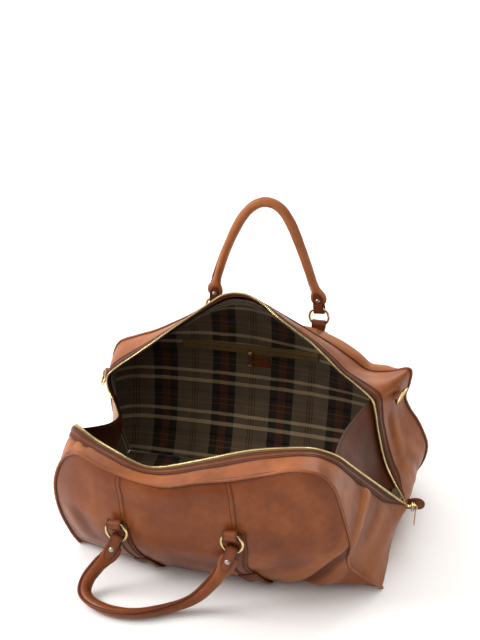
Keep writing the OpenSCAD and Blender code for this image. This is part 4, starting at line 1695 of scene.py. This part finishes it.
@dataclass
class RingPair:
    """The two rings that a handle hangs from, and the leather tabs that hold them.

    Args:
        side: "front" or "back".
        left: Centre of the left ring, in millimetres.
        right: Centre of the right ring.
        up: 1 where the tabs are above the rings, -1 where they are below.
        panel: 1 where the panel is at +Y of the rings, -1 where it is at -Y.
        radius: Radius of a ring to the middle of its wire.
        wire: Radius of the wire.
        reach: Distance from the ring's centre to its tab's bend.
        tab_width: Width of a tab.
    """

    side: str
    left: tuple
    right: tuple
    up: int
    panel: int
    radius: float = 16.5
    wire: float = 2.2
    reach: float = 14.0
    tab_width: float = 22.0

    def __post_init__(self) -> None:
        """Works out the directions of the pair."""
        run = np.array(self.right, float) - np.array(self.left, float)
        self.x = unit(run)
        flat = math.hypot(run[0], run[1])
        tilt, turn = -math.atan2(run[2], flat), math.atan2(run[1], run[0])
        self.z = np.array([math.sin(tilt) * math.cos(turn), math.sin(tilt) * math.sin(turn),
                           math.cos(tilt)])
        self.y = np.cross(self.z, self.x)

    def build(self, finishes: Finishes, thread: Stitches) -> None:
        """Makes both rings and both tabs.

        Args:
            finishes: The materials.
            thread: Where the stitches are gathered.
        """
        for where, at in (("left", self.left), ("right", self.right)):
            at = np.array(at, float)
            name = f"{self.side}_{where}_ring"
            turn = np.linspace(0, 2 * np.pi, 65)[:-1, None]
            line = at + self.radius * (np.cos(turn) * self.x + np.sin(turn) * self.z)
            out = unit(line - at)
            normal = np.repeat(self.y[None], 64, 0)
            points, faces = sweep(line, out, normal, 2 * self.wire, 2 * self.wire, 2.0, 18, True)
            place(mesh_object(name + "_wire", points, faces, finishes.brass, crisp=80), name,
                  "brass", name)
            self.tab(name, at, finishes, thread)

    def tab(self, name: str, at: np.ndarray, finishes: Finishes, thread: Stitches) -> None:
        """Makes the tab that wraps one ring.

        Args:
            name: Name of its ring.
            at: Centre of the ring.
            finishes: The materials.
            thread: Where the stitches are gathered.
        """
        pivot = at + self.z * self.up * self.reach
        r, s = EYE_RADIUS, self.panel
        turn = np.linspace(0, 1.42 * np.pi, 26)
        arc = np.stack([s * r * np.cos(turn), r * np.sin(turn)], -1)
        path = np.concatenate([[(s * r, -18), (s * r, -12), (s * r, -6)], arc,
                               [(s * r * 0.42, -r - 1.0)]])
        line = pivot + path[:, :1] * self.y + path[:, 1:] * self.z
        along = unit(np.gradient(line, axis=0))
        across = np.repeat(self.x[None], len(line), 0)
        normal = np.cross(along, across)
        points, faces = sweep(line, across, normal, self.tab_width, 2.1, 8.0, 24)
        place(mesh_object(name + "_tab_leather", points, faces, finishes.trim, crisp=50), "shell",
              "trim_leather", name + "_tab")
        out = unit(line - pivot)
        painted = Gathered()
        for side in (-1, 1):
            painted.add(tube(line + self.x * side * (self.tab_width / 2 - 0.2) + out * 0.7, 0.7, 8))
        place(painted.build(name + "_tab_edges", finishes.edge, 80), "shell", "trim_leather")
        for side in (-1, 1):
            row = line[5:24] + self.x * side * (self.tab_width / 2 - 2.4) + out[5:24] * 1.15
            thread.row(row, out[5:24], StitchStyle(3.6, 2.7, 0.45, 0.1))


@dataclass
class Handle:
    """Padded leather handle: rope core, sewn cover with a stitched edge, riveted ring loops.

    Args:
        pair: The rings that it hangs from.
        points: Middle points of the handle between the rings.
        end: 1 where the handle is above its rings, -1 where it is below.
        size: Girth along the plane of the arch, and across it.
        rivet: Radius of a rivet's head.
        loop_end: How far a loop reaches along the handle.
    """

    pair: RingPair
    points: Sequence
    end: int
    size: tuple
    rivet: float = 3.7
    loop_end: float = 34.0

    def __post_init__(self) -> None:
        """Runs the handle from ring to ring."""
        pair = self.pair
        foot = np.array([0, 0, self.end * pair.reach])
        path = [np.array(pair.left, float) + foot, *(np.array(p, float) for p in self.points),
                np.array(pair.right, float) + foot]
        self.line = evenly(spline(path, 0, len(path) - 1, 10), 150)
        self.across, self.normal = carried(self.line, pair.x, pair.x)

    def build(self, finishes: Finishes, thread: Stitches) -> None:
        """Makes the cover, its stitched edge, the loops and the rivets.

        Args:
            finishes: The materials.
            thread: Where the stitches are gathered.
        """
        side = self.pair.side
        body = side + "_handle"
        line, across, normal = self.line, self.across, self.normal
        run = lengths(line)
        near = np.minimum(run, run[-1] - run)
        girth, depth = self.size
        width = np.interp(near, [9, 13, 19, 27, 38, 52], [15, 24.5, 28, 26.5, girth + 2.5, girth])
        thick = np.interp(near, [9, 13, 20, 32, 46, 60], [3.5, 6, 7.5, 9.5, 13.5, depth])
        power = np.interp(near, [9, 30, 50], [3.4, 3.0, 2.0])
        keep = np.where(near > 9)[0]
        wobble = 1 + 0.012 * np.sin(run / 11.0) + 0.01 * np.sin(run / 4.3)
        points, faces = sweep(line[keep], across[keep], normal[keep], (width * wobble)[keep],
                              (thick * wobble)[keep], power[keep], 28)
        # Painted light and shade: the raised back handle takes the lighter copy of the tan leather, the
        # front handle the darker one.
        hide = finishes.tan_lit if side == "back" else finishes.tan_shaded
        made = mesh_object(side + "_handle_leather", points, faces, hide, crisp=60)
        place(made, body, "tan_leather", side + "_handle_cover", side + "_handle_core")
        inner = self.inner_side()
        flange = np.where(near > self.loop_end)[0]
        edge = line[flange] + inner[flange] * (width[flange] / 2 + 0.9)[:, None]
        over = np.cross(unit(np.gradient(line, axis=0)), inner)[flange]
        fade = ((near[flange] - self.loop_end) / 14).clip(0.25, 1)
        points, faces = sweep(edge, inner[flange], over, 5.2 * fade, 3.0 * fade, 5.0, 14)
        place(mesh_object(side + "_handle_seam", points, faces, finishes.trim, crisp=60), body,
              "trim_leather")
        for s in (-1, 1):
            row = edge + inner[flange] * 0.3 + over * s * 1.6
            thread.row(row, over * s)
        self.loops(finishes, thread, near)

    def inner_side(self) -> np.ndarray:
        """Finds which way the middle of the arch lies, square to the handle's line.

        Returns:
            A direction for each point of the line.
        """
        middle = (self.line[0] + self.line[-1]) / 2
        along = unit(np.gradient(self.line, axis=0))
        toward = middle - self.line
        toward = toward - np.sum(toward * along, axis=1, keepdims=True) * along
        pick = np.sign(np.sum(toward * self.across, axis=1))
        pick[pick == 0] = 1
        steady = np.sign(np.median(pick))
        return self.across * steady

    def loops(self, finishes: Finishes, thread: Stitches, near: np.ndarray) -> None:
        """Makes the riveted leather loops that wrap the rings.

        Args:
            finishes: The materials.
            thread: Where the stitches are gathered.
            near: Distance of each point of the handle from its nearer end.
        """
        side = self.pair.side
        gathered, rivets, painted = Gathered(), Gathered(), Gathered()
        for first in (True, False):
            order = slice(None) if first else slice(None, None, -1)
            line, across = self.line[order], self.across[order]
            distance = near[order]
            pivot = line[0]
            upto = np.searchsorted(distance[:75], self.loop_end)
            axis = unit(line[6] - line[0])
            x = unit(across[2] - (across[2] @ axis) * axis)
            n = np.cross(axis, x)
            turn = np.linspace(np.pi, 2 * np.pi, 17)
            arc = np.stack([EYE_RADIUS * np.cos(turn), EYE_RADIUS * np.sin(turn)], -1)
            legs = np.array([(4.7, 12), (5.0, 20), (6.4, 27), (7.4, 33)])
            path = np.concatenate([(legs * (-1, 1))[::-1], arc, legs])
            bend = line[upto] - (pivot + axis * distance[upto])
            lean = (path[:, 1:2] / self.loop_end).clip(0, 1) ** 2
            curve = pivot + path[:, :1] * n + path[:, 1:2] * axis + lean * bend
            along = unit(np.gradient(curve, axis=0))
            flat = np.repeat(x[None], len(curve), 0)
            wide = np.interp(path[:, 1], [-7, 8, 20, 29, 33], [17, 17, 16, 12, 6])
            gathered.add(sweep(curve, flat, np.cross(along, flat), wide, 2.0, 6.0, 20))
            out = np.cross(along, flat)
            out = out * np.sign(np.sum(out * (curve - pivot - axis * 10), axis=1, keepdims=True))
            for s in (-1, 1):
                painted.add(tube(curve + flat * s * (wide / 2 - 0.2)[:, None] + out * 0.5, 0.7, 8))
                row = curve + flat * s * (wide / 2 - 2.4)[:, None] + out * 1.1
                thread.row(row[2:-2], out[2:-2], StitchStyle(3.6, 2.7, 0.42, 0.1))
            face = -1 if n[1] > 0 else 1
            dome, faces = ball(self.rivet, 1.9)
            seat = pivot + axis * 18 + n * face * 5.9 + lean[-3] * bend * 0.6
            rivets.add((turned(x, axis, n * face, seat, dome), faces))
            rim = [seat + self.rivet * (math.cos(t) * x + math.sin(t) * axis) - n * face * 0.1
                   for t in np.linspace(0, 2 * np.pi, 25)[:-1]]
            rivets.add(tube(np.array(rim), 0.5, 6, True))
        place(gathered.build(side + "_handle_loop_leather", finishes.trim, 50), side + "_handle",
              "trim_leather", side + "_handle_loops")
        place(painted.build(side + "_handle_loop_edges", finishes.edge, 80), side + "_handle",
              "trim_leather")
        place(rivets.build(side + "_handle_rivet_heads", finishes.nickel, 50), side + "_handle",
              "nickel", side + "_handle_rivets")


@dataclass
class DRing:
    """D ring for a shoulder strap, in a leather tab on an end gusset.

    Args:
        side: "right" or "left".
        at: Middle of its straight bar, in millimetres.
        turn: Direction of the bar in degrees about Z.
        rise: How far the ring stands up from level, in degrees.
        bar: Length of the bar.
        wire: Radius of the wire.
    """

    side: str
    at: tuple
    turn: float
    rise: float
    bar: float = 38.0
    wire: float = 2.0

    def __post_init__(self) -> None:
        """Works out the ring's directions."""
        t, r = math.radians(self.turn), math.radians(self.rise)
        self.x = np.array([math.cos(t), math.sin(t), 0])
        self.level = np.array([math.sin(t), -math.cos(t), 0])
        self.out = self.level * math.cos(r) + np.array([0, 0, math.sin(r)])

    def build(self, finishes: Finishes) -> None:
        """Makes the ring and its tab.

        Args:
            finishes: The materials.
        """
        at, half = np.array(self.at, float), self.bar / 2
        turn = np.linspace(0, np.pi, 33)[1:-1]
        arc = [(half * math.cos(a), half * math.sin(a)) for a in turn]
        path = [(half * t, 0.0) for t in np.linspace(-0.86, 0.86, 9)]
        corner = [(half * 0.97, 0.6), (half, 2.4)]
        other = [(-half, 2.4), (-half * 0.97, 0.6)]
        line = np.array(path + corner + [p for p in arc if p[1] > 4] + other)
        line = at + line[:, :1] * self.x + line[:, 1:] * self.out
        side = np.cross(self.x, self.out)
        along = unit(np.roll(line, -1, 0) - np.roll(line, 1, 0))
        normal = np.repeat(side[None], len(line), 0)
        points, faces = sweep(line, np.cross(normal, along), normal, 2 * self.wire, 2 * self.wire,
                              2.0, 16, True)
        name = self.side + "_d_ring"
        place(mesh_object(name + "_wire", points, faces, finishes.brass, crisp=80), name, "brass", name)
        r = 3.5
        arc_turn = np.linspace(0.5 * np.pi, 2.0 * np.pi, 22)
        loop = np.stack([r * np.cos(arc_turn), r * np.sin(arc_turn)], -1)
        path = np.concatenate([[(-9.0, r)], loop[:1] * (0.5, 1), loop])
        up = np.array([0, 0, 1.0])
        curve = at + path[:, :1] * self.level + path[:, 1:] * up
        along = unit(np.gradient(curve, axis=0))
        flat = np.repeat(self.x[None], len(curve), 0)
        points, faces = sweep(curve, flat, np.cross(along, flat), 24.0, 2.0, 8.0, 22)
        place(mesh_object(name + "_tab_leather", points, faces, finishes.trim, crisp=50), "shell",
              "trim_leather", name + "_tab")


@dataclass
class ZipEnds:
    """Leather tabs over the ends of the zip, and the slider with its leather puller.

    Args:
        finishes: The materials.
        tooth: Size of a closed pair of teeth.
        teeth: Where the closed teeth are along X.
    """

    finishes: Finishes
    tooth: tuple = (1.75, 5.0, 3.2)
    teeth: tuple = (266.0, 268.9, 271.8, 274.7)

    def build(self, thread: Stitches) -> None:
        """Makes both tabs, the slider and the puller.

        Args:
            thread: Where the stitches are gathered.
        """
        for side, sign in (("right", 1), ("left", -1)):
            self.tab(side, sign, thread)
        line = straight((264, 0, 62.2), (277, 0, 63.4), 4)
        across = np.repeat([[0.0, 1.0, 0.0]], 5, 0)
        up = np.cross(unit(np.gradient(line, axis=0)), across)
        place(mesh_object("zip_end_tape", *sweep(line, across, up, 11.0, 1.3, 6.0, 12),
                          self.finishes.tape), "shell", "zip_cloth")
        chain = Gathered()
        tooth, faces = soft_box(self.tooth, 0.45)
        for x in self.teeth:
            chain.add((tooth + (x, 0, 62.2 + (x - 264) * 0.09), faces))
        place(chain.build("zip_end_teeth", self.finishes.brass, 30), "shell", "brass")
        self.slider()

    def tab(self, side: str, sign: int, thread: Stitches) -> None:
        """Makes one rounded tab.

        Args:
            side: "right" or "left".
            sign: 1 at the right end, -1 at the left.
            thread: Where the stitches are gathered.
        """
        low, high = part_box(side + "_zip_end_tab")
        middle = np.array((low + high) / 2) / MM
        turn = np.linspace(-0.5 * np.pi, 0.5 * np.pi, 17)
        round_end = np.stack([12 * np.cos(turn), 11.4 * np.sin(turn)], -1)
        outline = np.concatenate([[(-19, -5.5), (-8, -10.2), (-3, -11.4)], round_end,
                                  [(-3, 11.4), (-8, 10.2), (-19, 5.5)]])
        outline = outline * (sign, 1)
        levels = [(0.95, -1.2), (1.0, -0.7), (1.0, 0.7), (0.95, 1.2)]
        n = len(outline)
        rings = [np.c_[outline[:, 0] * k, np.full(n, y), outline[:, 1] * k] for k, y in levels]
        bend = [r + np.c_[np.zeros(n), 0.0035 * (r[:, 0] ** 2) * 0.5, np.zeros(n)] for r in rings]
        faces = [[a * n + i, a * n + (i + 1) % n, (a + 1) * n + (i + 1) % n, (a + 1) * n + i]
                 for a in range(3) for i in range(n)]
        faces += [list(range(n))[::-1], [3 * n + i for i in range(n)]]
        made = mesh_object(side + "_end_tab_leather", np.concatenate(bend) + middle, faces,
                           self.finishes.trim, crisp=50)
        place(made, "shell", "trim_leather", side + "_zip_end_tab")
        path = outline * 0.78
        for y in (-1.35, 1.35):
            row = middle + np.c_[path[:, 0], np.full(n, y), path[:, 1]]
            thread.row(row, np.repeat([[0, np.sign(y), 0]], n, 0), StitchStyle(3.4, 2.5, 0.4, 0.1))

    def slider(self) -> None:
        """Makes the slider and the framed leather puller."""
        f = self.finishes
        low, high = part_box("zip_slider")
        at = np.array([low.x / MM + 2.5, (low.y + high.y) / 2 / MM, (low.z + high.z) / 2 / MM])
        body = Gathered()
        for x in (-1.4, 1.6):
            points, faces = soft_box((1.9, 9.8 if x < 0 else 8.6, 12.0), 0.7)
            body.add((points + at + np.array([x, 0, 0]), faces))
        points, faces = soft_box((2.4, 2.4, 6.0), 0.5)
        body.add((points + at + np.array([0, 0, 3.0]), faces))
        bridge = np.array([[2.0, 0, 4.6], [5.2, 0, 4.2], [7.0, 0, 1.4], [6.6, 0, -2.0], [2.2, 0, -4.6]])
        line = spline(bridge, 0, 4, 6) + at
        across = np.repeat([[0.0, 1.0, 0.0]], len(line), 0)
        normal = np.cross(unit(np.gradient(line, axis=0)), across)
        body.add(sweep(line, across, normal, 3.0, 1.3, 4.0, 12))
        place(body.build("zip_slider_body", f.brass), "zip_slider", "brass", "zip_slider")
        low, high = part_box("zip_puller")
        top = np.array([(low.x + high.x) / 2, (low.y + high.y) / 2, high.z]) / MM - [0, 0, 1.0]
        points, faces = wire_loop(14.0, (high.z - low.z) / MM - 2.0, 1.1, 2.4)
        points = points[:, [1, 0, 2]]
        place(mesh_object("zip_puller_wire", points + top, [face[::-1] for face in faces], f.brass,
                          crisp=80), "zip_puller", "brass", "zip_puller")
        low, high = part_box("puller_leather")
        points, faces = soft_box(np.array(high - low) / MM * (1.2, 1, 1), 0.6)
        place(mesh_object("zip_puller_strip", points + np.array((low + high) / 2) / MM, faces,
                          f.trim), "zip_puller", "trim_leather", "puller_leather")


@dataclass
class Studio:
    """Pale floor, soft lights and the camera.

    Args:
        camera_at: The camera's place in metres.
        azimuth: Direction it looks in, in degrees from +Y.
        elevation: How far above the horizon it stands, in degrees.
        lens: Focal length in millimetres.
        floor: Half the floor's width in metres.
    """

    camera_at: tuple = (0.2655, -1.2767, 1.1309)
    azimuth: float = 12.0
    elevation: float = 30.0
    lens: float = 56.25
    floor: float = 30.0

    def build(self, finishes: Finishes) -> None:
        """Sets the floor, the lights, the world and the camera.

        Args:
            finishes: The materials.
        """
        mesh = bpy.data.meshes.new("floor")
        corners = ((-1, -1), (1, -1), (1, 1), (-1, 1))
        mesh.from_pydata([(x * self.floor, y * self.floor, -0.0004) for x, y in corners], [],
                         [(0, 1, 2, 3)])
        mesh.materials.append(finishes.floor)
        floor = bpy.data.objects.new("floor", mesh)
        bpy.context.scene.collection.objects.link(floor)
        for name, at, size, power, aim in (
            ("key", (-1.5, -0.45, 1.35), 0.8, 24.0, (0.0, -0.05, 0.12)),
            ("back", (0.5, 1.5, 1.4), 0.8, 9.0, (0.0, 0.1, 0.2)),
        ):
            self.light(name, at, size, power, aim)
        world = bpy.data.worlds.new("studio_world")
        world.use_nodes = True
        tree = world.node_tree
        way = add_node(tree, "TexCoord").outputs["Generated"]
        toward = add_node(tree, "VectorMath", {"operation": "DOT_PRODUCT"},
                          {0: way, 1: (-0.42, 0.30, 0.86)}).outputs["Value"]
        sky = tree.nodes["Background"]
        sky.inputs["Color"].default_value = (1.0, 0.985, 0.965, 1.0)
        tree.links.new(spread(tree, toward, -0.1, 1.0, 0.2, 1.74), sky.inputs["Strength"])
        bpy.context.scene.world = world
        bpy.context.scene.view_settings.view_transform = "Standard"
        self.camera()

    def light(self, name: str, at: tuple, size: float, power: float, aim: tuple) -> None:
        """Adds one soft area light.

        Args:
            name: Its name.
            at: Its place, in metres.
            size: Width of its square face.
            power: Its power in watts.
            aim: Point that it faces.
        """
        data = bpy.data.lights.new(name, "AREA")
        data.size, data.energy = size, power
        lamp = bpy.data.objects.new(name, data)
        lamp.location = at
        lamp.rotation_euler = (Vector(aim) - Vector(at)).to_track_quat("-Z", "Y").to_euler()
        bpy.context.scene.collection.objects.link(lamp)

    def camera(self) -> None:
        """Adds the camera and makes it the scene's."""
        az, el = math.radians(self.azimuth), math.radians(self.elevation)
        back = Vector((math.sin(az) * math.cos(el), -math.cos(az) * math.cos(el), math.sin(el)))
        data = bpy.data.cameras.new("camera")
        data.lens, data.sensor_width = self.lens, 36.0
        data.clip_end = 50.0
        made = bpy.data.objects.new("camera", data)
        made.location = self.camera_at
        made.rotation_euler = (-back).to_track_quat("-Z", "Y").to_euler()
        bpy.context.scene.collection.objects.link(made)
        bpy.context.scene.camera = made


def main() -> None:
    """Builds the bag from the inside out and dresses it."""
    finishes = Finishes()
    shape = BagShape()
    thread, edges = Stitches(), Gathered()
    shell = Shell(shape, finishes)
    shell.build()
    shell.dress()
    for number, (surface, path) in enumerate((
        (shell.front, [(0.735, 0.64), (0.758, 0.80), (0.812, 0.985)]),
        (shell.front, [(0.352, 0.67), (0.359, 0.838), (0.367, 0.985)]),
        (shell.back, [(0.66, 0.86), (0.655, 0.985)]),
        (shell.back, [(0.315, 0.93), (0.315, 0.985)]),
    )):
        PanelSeam(surface, path, f"panel_seam_{number + 1}").build(finishes, thread)
    ZipMouth(shape, finishes).build(thread)
    lining = Lining(shape, shell, finishes)
    lining.build()
    lining.folds(thread)
    Pocket(lining, finishes).build(thread)
    for surface, node, low, high in (
        (shell.front, "front_left_strap", (0.70, 0.08), (0.752, 0.58)),
        (shell.front, "front_right_strap", (0.345, 0.08), (0.348, 0.655)),
        (shell.back, "back_left_strap", (0.685, 0.04), (0.66, 0.82)),
        (shell.back, "back_right_strap", (0.325, 0.05), (0.315, 0.92)),
    ):
        Strap(surface, node, low, high).build(finishes, thread, edges)
    place(edges.build("strap_edges", finishes.edge, 80), "shell", "trim_leather")
    front = RingPair("front", (-153.5, -198, 104), (27, -211, 127), 1, 1)
    back = RingPair("back", (-91, 197, 285), (91, 188, 289), -1, -1)
    front.build(finishes, thread)
    back.build(finishes, thread)
    place(thread.build("shell_stitches", finishes.thread, 80), "shell", "trim_leather")
    for pair, end, size, points in (
        (front, -1, (19.0, 15.5), (
            (-163, -207, 66), (-181, -217, 44), (-194, -226, 25), (-195, -240, 13), (-179, -255, 10),
            (-146, -265, 10), (-106, -262, 10), (-62, -245, 13), (-26, -231, 26), (0, -223, 54),
            (18, -216, 84))),
        (back, 1, (13.2, 17.0), (
            (-89, 190, 326), (-81, 190, 360), (-67, 191, 405), (-46, 192, 453), (-26, 192, 479),
            (-4, 192, 489), (19, 192, 481), (38, 191, 455), (56, 191, 412), (76, 190, 358),
            (88, 190, 326))),
    ):
        handle_thread = Stitches()
        Handle(pair, points, end, size).build(finishes, handle_thread)
        place(handle_thread.build(pair.side + "_handle_stitches", finishes.thread, 80),
              pair.side + "_handle", "trim_leather")
    DRing("right", (239.5, 91.5, 209), 78, 62).build(finishes)
    DRing("left", (-261, 88, 190), 286, -65).build(finishes)
    ends_thread = Stitches()
    ZipEnds(finishes).build(ends_thread)
    place(ends_thread.build("end_tab_stitches", finishes.thread, 80), "shell", "trim_leather")
    Studio().build(finishes)
    LOG.info("the bag is complete")


if __name__ == "__main__":
    main()
